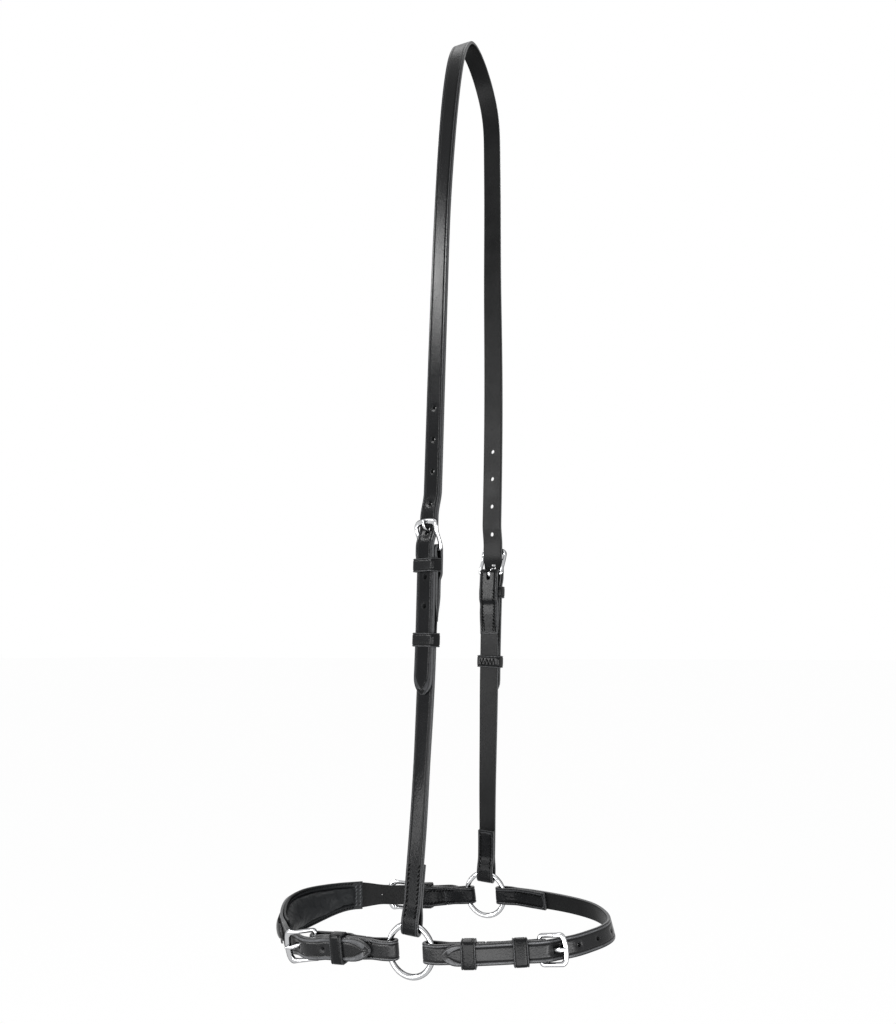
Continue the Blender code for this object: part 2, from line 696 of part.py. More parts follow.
def noseStrap(route, parent):
    """Front strap over the nose, with a billet at each end and its broad middle under the overlay."""
    middle = route.length / 2
    ends = ((route, NEAR_NOSE_TAB), (route.turned(), FAR_NOSE_TAB))
    end = middle - 1 * MM
    near, far = [billetPath(way, heel, NOSE_BUCKLE_LENGTH, NOSE_BILLET, TIP_LENGTH, end, STEP_CURVED)
                 for way, heel in ends]
    path = near + mirrored(far, route)
    body = taper([(padEnd - NOSE_BILLET_TAPER, NOSE_BILLET_WIDTH), (padEnd, NOSE_SIDE_WIDTH),
                  (middle - NOSE_BODY_FULL, NOSE_WIDTH)])

    def width(s):
        nearTip = s - (NEAR_NOSE_TAB - NOSE_BILLET)
        farTip = route.length - s - (FAR_NOSE_TAB - NOSE_BILLET)
        return pointed(body(min(s, route.length - s)), TIP_LENGTH, min(nearTip, farTip))

    made = ribbon("nose_strap", route, path, width, parent)
    cutters = []
    for way, heel in ends:
        front = heel + NOSE_BUCKLE_LENGTH
        cutters.append(usedHole(way, heel, front))
        for shift in (-NOSE_HOLE_PITCH, NOSE_HOLE_PITCH + HOLE_PULL):
            s = heel + USED_HOLE_AT + shift
            cutters.append(hole(way, s, billetHeight(heel, front, s)))
    cut(made, cutters, parent)
    return made


def chinStrap(route, parent):
    """From its point through the near buckle, round the chin and back on itself at the far ring."""
    heel, front = CHIN_TAB, CHIN_TAB + CHIN_BUCKLE_LENGTH
    far = ringFold(CHIN_RING_TURNBACK, STEP_CURVED)
    far += run(layersClosed + 0.5 * MM, layersClosed + 6 * MM, layerHalf, STEP_CURVED)
    end = route.length - layersClosed - 10 * MM
    path = billetPath(route, heel, CHIN_BUCKLE_LENGTH, CHIN_BILLET, CHIN_TIP_LENGTH, end, STEP_CURVED,
                      resting=layerHalf)
    path += mirrored(far, route)
    body = taper([(route.length - CHIN_STRAP_TAPER, CHIN_WIDTH), (route.length - ringOuter, RING_END_WIDTH)])

    def width(s):
        return pointed(body(s), CHIN_TIP_LENGTH, s - (heel - CHIN_BILLET))

    made = ribbon("chin_strap", route, path, width, parent)
    used = heel + USED_HOLE_AT
    places = [used + CHIN_HOLE_PITCH * index for index in range(1, CHIN_HOLES_AHEAD + 1)]
    places.append(used - CHIN_TIP_HOLE)
    cutters = [usedHole(route, heel, front)]
    cutters += [hole(route, s, billetHeight(heel, front, s, layerHalf)) for s in places]
    cut(made, cutters, parent)
    return made


# Nose pad

def padAway(route, s):
    """Distance from the middle of the pad: 0 there and 1 at its ends."""
    return abs(s - route.length / 2) / (route.length / 2 - padEnd)


def padDepth(route, s):
    full = math.sqrt(max(0.0, 1 - padAway(route, s) ** 5))
    return PAD_FLANGE_THICK + (PAD_DEPTH - PAD_FLANGE_THICK) * full


def padWidth(route, s):
    return PAD_WIDTH + (PAD_END_WIDTH - PAD_WIDTH) * smooth(padAway(route, s), 0.1, 1.0)


def padStations(route, margin, step):
    middle = route.length / 2
    reach = middle - padEnd - margin
    half = [reach * (1 - share) for share in (0.0, 0.03, 0.08, 0.16)]
    half += [s for s, _ in run(reach * 0.76, 2.5 * MM, 0.0, step)]
    return [middle - s for s in half] + [middle + s for s in reversed(half)]


def lining(route, parent):
    """Soft lining: flat sewn flanges, a sewn channel along each and a crowned middle, hollow behind."""
    crown = [(1.0, 0.10), (0.94, 0.42), (0.80, 0.72), (0.58, 0.90)]
    channel = PAD_FLANGE_THICK - PAD_CHANNEL
    rings = []
    for s in padStations(route, 0.0, STEP_CURVED):
        edge = padWidth(route, s) / 2
        sewn = edge - PAD_FLANGE
        depth = padDepth(route, s)
        outer = [(edge - 0.2 * MM, padFace), (edge, padFace - 0.2 * MM), (edge, padFace - PAD_FLANGE_THICK),
                 (sewn + 0.6 * MM, padFace - PAD_FLANGE_THICK)]
        outer += [(sewn * share, padFace - channel - (depth - channel) * rise) for share, rise in crown]
        outer.append((PAD_REST / 2, padFace - depth))
        inner = [(sewn - PAD_SKIN - 0.1 * MM, padFace)]
        for share, rise in crown[1:]:
            hollow = max(PAD_REST / 2 + 0.5 * MM, sewn * share - PAD_SKIN)
            inner.append((hollow, padFace - max(0.45 * MM, (depth - channel) * rise * 0.97)))
        inner.append((PAD_REST / 2, padFace - max(0.5 * MM, depth - PAD_SKIN)))
        section = outer + [(-b, h) for b, h in reversed(outer)]
        section += [(-b, h) for b, h in inner] + list(reversed(inner))
        rings.append([route.point(s, h, b) for b, h in section])
    return solid("nose_lining", rings, black, roughness=0.6, parent=parent)


def foam(route, parent):
    """Foam core that fills the hollow of the lining."""
    face = padFace - GAP
    rings = []
    for s in padStations(route, 4 * MM, STEP_CURVED):
        room = padDepth(route, s) - PAD_SKIN
        reach = padWidth(route, s) / 2 - PAD_FLANGE - PAD_SKIN - 0.7 * MM
        deep = face - max(0.5 * MM, (room - 2 * GAP) * 0.55)
        deeper = face - max(0.6 * MM, room - 2.6 * GAP)
        right = [(reach, face), (reach - GAP, (face + deep) / 2), (reach * 0.74, deep),
                 (PAD_REST / 2 - 0.4 * MM, deeper)]
        section = right + [(-b, h) for b, h in reversed(right)]
        rings.append([route.point(s, h, b) for b, h in section])
    return solid("nose_foam", rings, foamGrey, roughness=0.9, parent=parent)


def overlay(route, parent):
    """Raised strip sewn to the outside of the nose strap, with a rounded back and drawn-down ends."""
    middle = route.length / 2
    reach = middle - padEnd - OVERLAY_BEYOND
    base = LEATHER / 2 + PAD_GAP
    half = [reach * share for share in (1.0, 0.985, 0.95, 0.89, 0.80)]
    half += [s for s, _ in run(reach * 0.72, 3.0 * MM, 0.0, STEP_CURVED)]
    rings = []
    for away in half + [-s for s in reversed(half)]:
        full = math.sqrt(max(0.0, 1 - (abs(away) / reach) ** 6))
        wide = OVERLAY_WIDTH / 2 * (0.35 + 0.65 * full)
        depth = OVERLAY_EDGE + (OVERLAY_DEPTH - OVERLAY_EDGE) * full
        section = [(wide, base)]
        for step in range(9):
            turn = math.pi * step / 8
            section.append((wide * math.cos(turn), base + depth * (0.25 + 0.75 * math.sin(turn))))
        section.append((-wide, base))
        rings.append([route.point(middle - away, h, b) for b, h in section])
    return solid("nose_overlay", rings, black, parent=parent)


# Routes in the frame of the rings: middle of the ring axis at 0, near ring at -Y.
# Each list of points is drawn in millimetres on the sizes named beside it and set to the sizes above.

def headRoute():
    drawnLean, drawnHalf, drawnHeight = 17.0, 62.5, 648.5
    near = [(0.0, 62.5, 0.0), (0.7, 62.5, 15.0), (1.6, 61.9, 32.0), (3.2, 59.6, 62.0), (5.8, 56.8, 120.0),
            (7.8, 55.2, 180.0), (9.2, 55.2, 240.0), (10.8, 55.0, 300.0), (12.3, 54.4, 360.0),
            (13.7, 53.2, 420.0), (14.9, 50.8, 480.0), (15.8, 48.6, 515.0), (16.6, 45.2, 550.0),
            (17.4, 40.2, 585.0), (17.6, 33.5, 612.0), (17.0, 23.6, 633.0), (17.0, 13.0, 645.1)]
    far = [(0.0, 62.5, 0.0), (0.7, 62.5, 15.0), (1.5, 61.9, 32.0), (2.7, 59.6, 62.0), (4.9, 56.8, 120.0),
           (7.0, 55.2, 180.0), (9.3, 55.2, 240.0), (11.3, 55.0, 300.0), (12.9, 54.4, 360.0),
           (13.8, 53.2, 420.0), (14.7, 50.8, 480.0), (15.8, 48.8, 515.0), (17.2, 45.8, 550.0),
           (18.8, 41.6, 585.0), (19.6, 36.6, 612.0), (18.4, 26.6, 633.0), (17.2, 14.0, 645.1)]
    lean, wide, tall = CROWN_LEAN / drawnLean, halfSpacing / drawnHalf, CROWN_HEIGHT / drawnHeight
    knots = [(x * lean, -y * wide, z * tall) for x, y, z in near]
    knots.append((CROWN_LEAN, 0.0, CROWN_HEIGHT))
    knots += [(x * lean, y * wide, z * tall) for x, y, z in reversed(far)]

    def across(s, length, tangent):
        middle = length / 2

        def twist(place):
            return smooth(place, 26 * MM, 120 * MM) * (1 - smooth(place, middle - 200 * MM, middle - 25 * MM))
        turn = -math.radians(NEAR_TWIST * twist(s) + FAR_TWIST * twist(length - s))
        return (math.cos(turn), math.sin(turn), 0.0)

    return Route(knots, across)


def crownAt(route):
    """Length at which the route is level, at its highest point."""
    top = int(np.argmax(route.line[:, 2]))
    around = slice(top - 3, top + 4)
    return float(np.interp(0.0, -route.tangents[around, 2], route.lengthAt[around]))


def loopRoute(near, far, drawnReach, reach, up, flare):
    """Loop from the near ring to the far ring, drawn with its end at drawnReach and set to reach.

    Its end lies to -X when up is +1 and to +X when up is -1; flare leans the top edge out.
    """
    drawnHalf = 62.5
    long = -up * reach / drawnReach
    wide = halfSpacing / drawnHalf
    knots = [(x * long, -y * wide, z * wide) for x, y, z in near]
    knots.append((drawnReach * long, 0.0, 0.0))
    knots += [(x * long, y * wide, z * wide) for x, y, z in reversed(far)]

    def across(s, length, tangent):
        lean = math.radians(flare(min(s, length - s), length / 2))
        outward = np.cross((0.0, 0.0, up), tangent)
        outward /= np.linalg.norm(outward)
        return tuple(up * (math.cos(lean) * np.array([0.0, 0.0, 1.0]) + math.sin(lean) * outward))

    return Route(knots, across)


def noseRoute():
    near = [(0.0, 62.5, 0.0), (16.0, 62.5, 0.0), (32.0, 62.2, 0.0), (60.0, 60.6, -0.2), (80.0, 57.0, -0.6),
            (96.0, 48.5, -0.9), (109.0, 37.0, -0.9), (120.0, 20.5, -0.4)]
    far = [(0.0, 62.5, 0.0), (16.0, 62.5, -0.8), (32.0, 62.2, -1.7), (60.0, 61.2, -2.1), (80.0, 58.8, -1.3),
           (97.0, 53.0, 0.0), (111.0, 43.5, 0.6), (121.5, 27.5, 0.3)]

    def flare(s, middle):
        return NOSE_FLARE * (smooth(s, 20 * MM, 75 * MM) - 0.75 * smooth(s, 90 * MM, middle))

    return loopRoute(near, far, 127.0, NOSE_REACH, 1, flare)


def chinRoute():
    side = [(0.0, 62.5, 0.0), (10.0, 62.5, 0.0), (19.0, 62.4, 0.0), (35.0, 59.0, 0.0), (55.0, 52.8, 0.0),
            (73.0, 45.2, 0.0), (88.0, 35.5, 0.0), (100.0, 20.5, 0.0)]

    def flare(s, middle):
        return -CHIN_FLARE * smooth(s, 20 * MM, 70 * MM)

    return loopRoute(side, side, 107.0, CHIN_REACH, -1, flare)


# Assembly

def hinge(name, parent, turn=0.0):
    """Empty on the common axis of the two rings."""
    made = bpy.data.objects.new(name, None)
    bpy.context.collection.objects.link(made)
    made.parent = parent
    made.rotation_euler = (0.0, math.radians(turn), 0.0)
    return made


def buckle(name, route, heel, length, behind, strapWidth, parent):
    """Frame, tongue and fixed keeper of one buckle."""
    buckleFrame(name + "_buckle", route, heel, length, strapWidth, parent)
    tongue(name + "_tongue", route, heel, length, parent)
    fixedKeeper(name + "_keeper", route, heel, length, behind, strapWidth, parent)


def headSide(name, way, side, heel, behind, loopBehind, parent):
    """Ring, cheek strap, buckle and running keeper of one side."""
    ringPiece(name + "_ring", side, parent)
    turnback = heel - CHEEK_BUCKLE_TURNBACK
    widths = taper([(ringOuter, RING_END_WIDTH), (turnback - CHEEK_FULL_WIDTH, CHEEK_WIDTH)])
    foldedStrap(name + "_cheek", way, heel, heel - behind, CHEEK_RING_TURNBACK, turnback, widths,
                STEP_STRAIGHT, parent)
    buckle(name + "_cheek", way, heel, BUCKLE_LENGTH, behind, HEAD_WIDTH, parent)
    keeper(name + "_cheek_loop", way, heel - loopBehind, HEAD_WIDTH, layerHalf - LEATHER / 2,
           billetOver + LEATHER / 2, parent, sewn=False)


def noseSide(name, way, heel, behind, parent):
    widths = taper([(ringOuter, RING_END_WIDTH), (ringOuter + NOSE_TAB_TAPER, NOSE_TAB_WIDTH)])
    foldedStrap(name + "_nose_tab", way, heel, heel - behind, NOSE_TURNBACK - JOIN_GAP / 2,
                NOSE_TURNBACK + JOIN_GAP / 2, widths, STEP_CURVED, parent)
    buckle(name + "_nose", way, heel, NOSE_BUCKLE_LENGTH, behind, NOSE_TAB_WIDTH, parent)


def chinPieces(route, parent):
    widths = taper([(ringOuter, RING_END_WIDTH), (ringOuter + CHIN_TAB_TAPER, CHIN_WIDTH)])
    foldedStrap("chin_tab", route, CHIN_TAB, CHIN_TAB - CHIN_KEEPER, CHIN_TURNBACK - JOIN_GAP / 2,
                CHIN_TURNBACK + JOIN_GAP / 2, widths, STEP_CURVED, parent)
    buckle("chin", route, CHIN_TAB, CHIN_BUCKLE_LENGTH, CHIN_KEEPER, CHIN_WIDTH, parent)
    keeper("chin_loop", route, CHIN_TAB - CHIN_LOOP, CHIN_WIDTH, -layerHalf - LEATHER / 2,
           billetOver + LEATHER / 2, parent, sewn=False)
    chinStrap(route, parent)


def main():
    poll = hinge("poll", None)
    ringAxis = hinge("ring_axis", poll)
    head = headRoute()
    flat = [head.point(crownAt(head) + reach, -LEATHER / 2, 0) for reach in (-CROWN_FLAT / 2, CROWN_FLAT / 2)]
    crown = (flat[0] + flat[1]) / 2
    ringAxis.location = (-crown[0], 0.0, -crown[2])
    noseHinge = hinge("nose_hinge", ringAxis, -NOSE_DROOP)
    chinHinge = hinge("chin_hinge", ringAxis, -CHIN_RISE)

    headpiece(head, ringAxis)
    headSide("near", head, -1, NEAR_CHEEK_TAB, NEAR_CHEEK_KEEPER, NEAR_CHEEK_LOOP, ringAxis)
    headSide("far", head.turned(), 1, FAR_CHEEK_TAB, FAR_CHEEK_KEEPER, FAR_CHEEK_LOOP, ringAxis)

    nose = noseRoute()
    noseSide("near", nose, NEAR_NOSE_TAB, NEAR_NOSE_KEEPER, noseHinge)
    noseSide("far", nose.turned(), FAR_NOSE_TAB, FAR_NOSE_KEEPER, noseHinge)
    noseStrap(nose, noseHinge)
    overlay(nose, noseHinge)
    lining(nose, noseHinge)
    foam(nose, noseHinge)

    chinPieces(chinRoute(), chinHinge)


main()
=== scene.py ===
# Looks of the hanoverian noseband: creased and stitched leather, a sewn nose pad and polished steel,
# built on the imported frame. Metres, +Z up, +X towards the chin, -Y the near side.
import json
import math

import bmesh
import bpy
import numpy as np
from mathutils import Matrix, Vector

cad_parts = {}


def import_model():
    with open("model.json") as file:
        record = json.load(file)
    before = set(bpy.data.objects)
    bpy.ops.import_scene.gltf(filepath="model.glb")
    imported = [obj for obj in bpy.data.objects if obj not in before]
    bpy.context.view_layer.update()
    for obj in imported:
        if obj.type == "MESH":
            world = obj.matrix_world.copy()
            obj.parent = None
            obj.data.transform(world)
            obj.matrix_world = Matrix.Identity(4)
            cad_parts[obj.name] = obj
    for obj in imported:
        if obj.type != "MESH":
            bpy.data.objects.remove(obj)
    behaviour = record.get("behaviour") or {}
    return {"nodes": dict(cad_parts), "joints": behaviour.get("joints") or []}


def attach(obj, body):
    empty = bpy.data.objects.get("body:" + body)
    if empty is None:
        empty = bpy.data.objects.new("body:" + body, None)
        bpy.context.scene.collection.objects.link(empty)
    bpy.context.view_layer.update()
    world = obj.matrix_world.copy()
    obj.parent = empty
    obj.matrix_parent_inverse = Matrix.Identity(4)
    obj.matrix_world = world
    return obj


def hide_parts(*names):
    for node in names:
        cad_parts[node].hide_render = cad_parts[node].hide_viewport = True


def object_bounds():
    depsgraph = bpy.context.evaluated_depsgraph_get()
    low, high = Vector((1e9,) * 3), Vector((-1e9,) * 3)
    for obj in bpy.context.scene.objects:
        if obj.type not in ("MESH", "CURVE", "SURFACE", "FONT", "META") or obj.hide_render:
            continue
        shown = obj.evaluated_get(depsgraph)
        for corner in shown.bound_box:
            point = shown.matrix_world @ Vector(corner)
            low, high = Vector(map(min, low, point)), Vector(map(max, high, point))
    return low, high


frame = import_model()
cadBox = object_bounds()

mm = 0.001

# Sizes that the pieces share, as they are cut
cut = {
    "leather": 2.3 * mm,
    "gap": 0.3 * mm,             # between pieces that touch
    "ringEnd": 11.0 * mm,        # width of a strap where it folds round a ring
    "ringSlack": 0.8 * mm,
    "ringPart": 11.0 * mm,       # layers close over this length beyond a ring
    "heelPart": 9.0 * mm,        # and part over this length before a heel bar
    "heelLevel": 1.5 * mm,
    "keeperPart": 5.0 * mm,
    "keeperEase": 0.6 * mm,
    "join": 1.0 * mm,            # between two turned-back ends that meet
}
ringSize = {"bore": 26.0 * mm, "wire": 3.4 * mm, "spacing": 125.0 * mm}      # spacing between the two rings
buckleSize = {
    "heelBar": 2.6 * mm,
    "frontBow": 1.4 * mm,
    "frontCorner": 0.62,         # share of the front bar's width
    "heelCorner": 1.6 * mm,
    "broad": (0.75, 0.98),       # the side bar broadens to the front bar between these shares of the length
    "risen": 0.9,                # and is at its height here
    "clearance": 0.5 * mm,       # strap to side bar
    "tongueWidth": 2.4 * mm,
    "tongueThick": 1.6 * mm,
    "eyeClearance": 0.42 * mm,
    "dip": 3.2 * mm,             # a billet drops this far from the heel bar to the front bar
    "climb": 10.0 * mm,          # and rises to the heel bar over this length
    "level": 2.5 * mm,           # it lies flat this far to each side of the heel bar
    "dipEnd": 2.0 * mm,          # before the front bar
    "rest": 4.0 * mm,            # beyond it, where the billet starts to settle
    "settle": 22.0 * mm,         # and where it lies on its route again
    "rise": 6.4 * mm,            # length over which a tongue climbs through the billet
}
# side is the room beside the strap, corner the round of the band's middle line
keeperSize = {"thick": 1.3 * mm, "wide": 9.0 * mm, "side": 0.5 * mm, "corner": 1.2 * mm}
holeSize = {
    "usedLong": 7.3 * mm,        # the hole in use, drawn long by the tongue
    "usedWide": 3.8 * mm,
    "usedAt": 7.6 * mm,          # its place before the pull of use, from the heel bar
    "pull": 1.5 * mm,
    "slotBefore": 5.0 * mm,      # the tongue's slot, from the heel bar into the tab
    "slotBeyond": 7.0 * mm,
    "slotSide": 0.5 * mm,
    "grainSide": 1.14,           # a punched hole is wider on the grain side
    "through": 0.7,              # a punch reaches this share of the leather past its middle
    "dimple": 0.34 * mm,         # how far the punch drew the grain side in
    "dimpleReach": 2.0,          # in hole radii
}

# How finely the visible pieces are built: steps along them, counts round them, the least angle in
# degrees of a sharp edge, and the stations of a billet's point as shares of it
fine = {"straight": 6.0 * mm, "curved": 3.0 * mm, "crown": 2.0 * mm, "layer": 1.1 * mm, "billet": 1.4 * mm,
        "settling": 2.2 * mm, "pared": 2.0 * mm, "hole": 0.75 * mm, "fold": 12, "round": 24,
        "sharp": 38.0, "tip": (0, 0.015, 0.04, 0.08, 0.13, 0.2, 0.3, 0.42, 0.56, 0.75, 1.0)}

# Where layers lie, worked out from those sizes
ringMean = (ringSize["bore"] + ringSize["wire"]) / 2
wireRadius = ringSize["wire"] / 2
ringOuter = ringMean + wireRadius
halfSpacing = ringSize["spacing"] / 2
barRadius = buckleSize["heelBar"] / 2
leather, gap = cut["leather"], cut["gap"]
layerHalf = (gap + leather) / 2                    # centre of one of two layers that lie together
ringLayer = wireRadius + gap + leather / 2
heelLayer = barRadius + gap + leather / 2
billetOver = layerHalf + leather + gap
billetHeel = heelLayer + leather + 2 * gap
billetFront = billetHeel - buckleSize["dip"]
frontHalf = barRadius * 0.9
frontBar = billetFront + leather / 2 + gap + frontHalf
tongueTop = frontBar + frontHalf + gap + buckleSize["tongueThick"] / 2
keeperSpread = layerHalf + keeperSize["thick"] + gap
keeperHalf = keeperSize["wide"] / 2 + cut["keeperEase"]
layersClosed = ringOuter + cut["ringPart"] + 2 * mm

print("frame loaded:", len(frame["nodes"]), "nodes")


# Small helpers

def addObject(name, data):
    made = bpy.data.objects.new(name, data)
    bpy.context.scene.collection.objects.link(made)
    return made


def turns(count, first=0.0):
    # the angles of a whole turn in equal steps
    return [2 * math.pi * (step + first) / count for step in range(count)]


def smooth(value, start, end):
    if start == end:
        return 0.0 if value < start else 1.0
    part = min(1.0, max(0.0, (value - start) / (end - start)))
    return part * part * (3 - 2 * part)


def taper(points):
    # a smooth function of length from a few (length, value) pairs
    def at(s):
        if s <= points[0][0]:
            return points[0][1]
        for (a, low), (b, high) in zip(points, points[1:]):
            if s <= b:
                return low + (high - low) * smooth(s, a, b)
        return points[-1][1]
    return at


class Route:
    # a smooth line through chosen points, with the strap's frame along it:
    # tangent, outward normal and the direction across

    def __init__(self, points, across, samples=24):
        knots = np.array(points, dtype=float)
        spans = np.linalg.norm(np.diff(knots, axis=0), axis=1)
        at = np.concatenate([[0.0], np.cumsum(spans)])
        bend = self.naturalSpline(at, knots)
        line = []
        for index in range(len(knots) - 1):
            reach = at[index + 1] - at[index]
            for step in range(samples):
                high = step / samples
                low = 1 - high
                curve = (low ** 3 - low) * bend[index] + (high ** 3 - high) * bend[index + 1]
                line.append(low * knots[index] + high * knots[index + 1] + curve * reach ** 2 / 6)
        line.append(knots[-1])
        self.line = np.array(line)
        steps = np.linalg.norm(np.diff(self.line, axis=0), axis=1)
        self.lengthAt = np.concatenate([[0.0], np.cumsum(steps)])
        self.length = self.lengthAt[-1]
        tangents = np.gradient(self.line, self.lengthAt, axis=0)
        tangents /= np.linalg.norm(tangents, axis=1)[:, None]
        widths = np.array([across(s, self.length, t) for s, t in zip(self.lengthAt, tangents)])
        normals = np.cross(widths, tangents)
        self.tangents = tangents
        self.normals = normals / np.linalg.norm(normals, axis=1)[:, None]

    @staticmethod
    def naturalSpline(at, knots):
        count = len(at)
        system = np.eye(count)
        right = np.zeros_like(knots)
        gaps = np.diff(at)
        for i in range(1, count - 1):
            system[i, i - 1] = gaps[i - 1]
            system[i, i] = 2 * (gaps[i - 1] + gaps[i])
            system[i, i + 1] = gaps[i]
            rise = (knots[i + 1] - knots[i]) / gaps[i] - (knots[i] - knots[i - 1]) / gaps[i - 1]
            right[i] = 6 * rise
        return np.linalg.solve(system, right)

    def moved(self, matrix):
        # the route itself, turned and moved by a matrix
        turn = np.array(matrix.to_3x3())
        self.line = self.line @ turn.T + np.array(matrix.translation)
        self.tangents = self.tangents @ turn.T
        self.normals = self.normals @ turn.T
        return self

    def turned(self):
        # the same line walked from its other end
        other = object.__new__(Route)
        other.line = self.line[::-1]
        other.length = self.length
        other.lengthAt = self.length - self.lengthAt[::-1]
        other.tangents = -self.tangents[::-1]
        other.normals = self.normals[::-1]
        return other

    def frames(self, s):
        # place, tangent, outward normal and across for each length in s
        s = np.atleast_1d(np.asarray(s, dtype=float))

        def read(table):
            return np.stack([np.interp(s, self.lengthAt, table[:, axis]) for axis in range(3)], axis=1)
        place, tangent, normal = read(self.line), read(self.tangents), read(self.normals)
        over = np.minimum(s, 0.0) + np.maximum(s - self.length, 0.0)
        place = place + tangent * over[:, None]
        tangent = tangent / np.linalg.norm(tangent, axis=1)[:, None]
        normal = normal - tangent * np.sum(tangent * normal, axis=1)[:, None]
        normal = normal / np.linalg.norm(normal, axis=1)[:, None]
        return place, tangent, normal, np.cross(tangent, normal)

    def points(self, s, n, b):
        place, _, normal, across = self.frames(s)
        return place + normal * np.asarray(n)[:, None] + across * np.asarray(b)[:, None]


# Paths beside a route: (length along it, height off it) for the middle of a strap

def spread(start, end, step):
    # evenly spaced lengths from start to end, no further apart than step
    count = max(1, math.ceil(abs(end - start) / step))
    return [start + (end - start) * index / count for index in range(count + 1)]


def run(start, end, height, step):
    return [(s, height(s) if callable(height) else height) for s in spread(start, end, step)]


def mirrored(path, route):
    return [(route.length - s, n) for s, n in reversed(path)]


def fold(centre, radius, towards, rising):
    # half a turn about (centre, 0)
    points = []
    for index in range(1, fine["fold"]):
        turn = math.pi * index / fine["fold"]
        points.append((centre + towards * radius * math.sin(turn), -radius * math.cos(turn) * rising))
    return points


def ringFoldCentre():
    inside = math.sqrt((ringMean - wireRadius) ** 2 - (cut["ringEnd"] / 2) ** 2)
    return inside + wireRadius - cut["ringSlack"]


def besideRing(s):
    return ringLayer + (layerHalf - ringLayer) * smooth(s, ringOuter + gap, ringOuter + cut["ringPart"])


def besideHeel(heel, s):
    return heelLayer + (layerHalf - heelLayer) * smooth(heel - s, cut["heelLevel"], cut["heelPart"])


def innerHeel(heel, keeperAt, s):
    # the inner layer makes room for the sewn end of the fixed keeper
    first, last = keeperAt - keeperHalf, keeperAt + keeperHalf
    room = smooth(s, first - cut["keeperPart"], first)
    level = cut["heelLevel"]
    parted = smooth(s, min(last, heel - level), heel - level / 2)
    return layerHalf + (keeperSpread - layerHalf) * room + (heelLayer - keeperSpread) * parted


def billetHeight(heel, front, s, resting=0.0):
    # flat on the tab, over the heel bar, under the front bar and back to its route
    lying = besideRing(s) + leather + gap
    climb, level = buckleSize["climb"], buckleSize["level"]
    onTab = lying + (billetHeel - lying) * smooth(s, heel - climb, heel - level)
    dip = (billetFront - billetHeel) * smooth(s, heel + level, front - buckleSize["dipEnd"])
    away = smooth(s, front + buckleSize["rest"], front + buckleSize["settle"])
    return onTab + dip + (resting - billetFront) * away


# Shader node groups: each is built once and placed in the materials with its own values

def addNode(tree, kind, sockets=None, **settings):
    # sockets maps each input to a plain value or to the output that feeds it
    node = tree.nodes.new(kind)
    for key, value in settings.items():
        setattr(node, key, value)
    for key, value in (sockets or {}).items():
        if isinstance(value, bpy.types.NodeSocket):
            tree.links.new(value, node.inputs[key])
        else:
            node.inputs[key].default_value = value
    return node


def mathNode(tree, operation, *values, clamp=False):
    node = addNode(tree, "ShaderNodeMath", dict(enumerate(values)), operation=operation, use_clamp=clamp)
    return node.outputs[0]


def rangeNode(tree, value, low, high, toLow, toHigh):
    sockets = {"Value": value, "From Min": low, "From Max": high, "To Min": toLow, "To Max": toHigh}
    return addNode(tree, "ShaderNodeMapRange", sockets, interpolation_type="SMOOTHSTEP").outputs["Result"]


def noiseNode(tree, place, scale, detail, roughness=0.5):
    sockets = {"Vector": place, "Scale": scale, "Detail": detail, "Roughness": roughness}
    return addNode(tree, "ShaderNodeTexNoise", sockets).outputs


def mixColour(tree, factor, first, second):
    node = addNode(tree, "ShaderNodeMix", {0: factor}, data_type="RGBA")
    for socket, colour in zip([socket for socket in node.inputs if socket.type == "RGBA"], (first, second)):
        if isinstance(colour, tuple):
            socket.default_value = colour
        else:
            tree.links.new(colour, socket)
    return [socket for socket in node.outputs if socket.type == "RGBA"][0]


def objectPlace(tree):
    return addNode(tree, "ShaderNodeTexCoord").outputs["Object"]


def edgeMarks(tree):
    # the two marks of the layer "edge", as each mesh sets them
    marks = addNode(tree, "ShaderNodeUVMap", uv_map="edge")
    return addNode(tree, "ShaderNodeSeparateXYZ", {0: marks.outputs["UV"]}).outputs[:2]


def newGroup(name, inputs):
    # a group of number sockets, to be closed by endGroup
    group = bpy.data.node_groups.new(name, "ShaderNodeTree")
    for label in inputs:
        group.interface.new_socket(label, in_out="INPUT", socket_type="NodeSocketFloat")
    return group, group.nodes.new("NodeGroupInput").outputs


def endGroup(group, results):
    for label in results:
        group.interface.new_socket(label, in_out="OUTPUT", socket_type="NodeSocketFloat")
    last = group.nodes.new("NodeGroupOutput")
    for label, source in results.items():
        group.links.new(source, last.inputs[label])
    return group


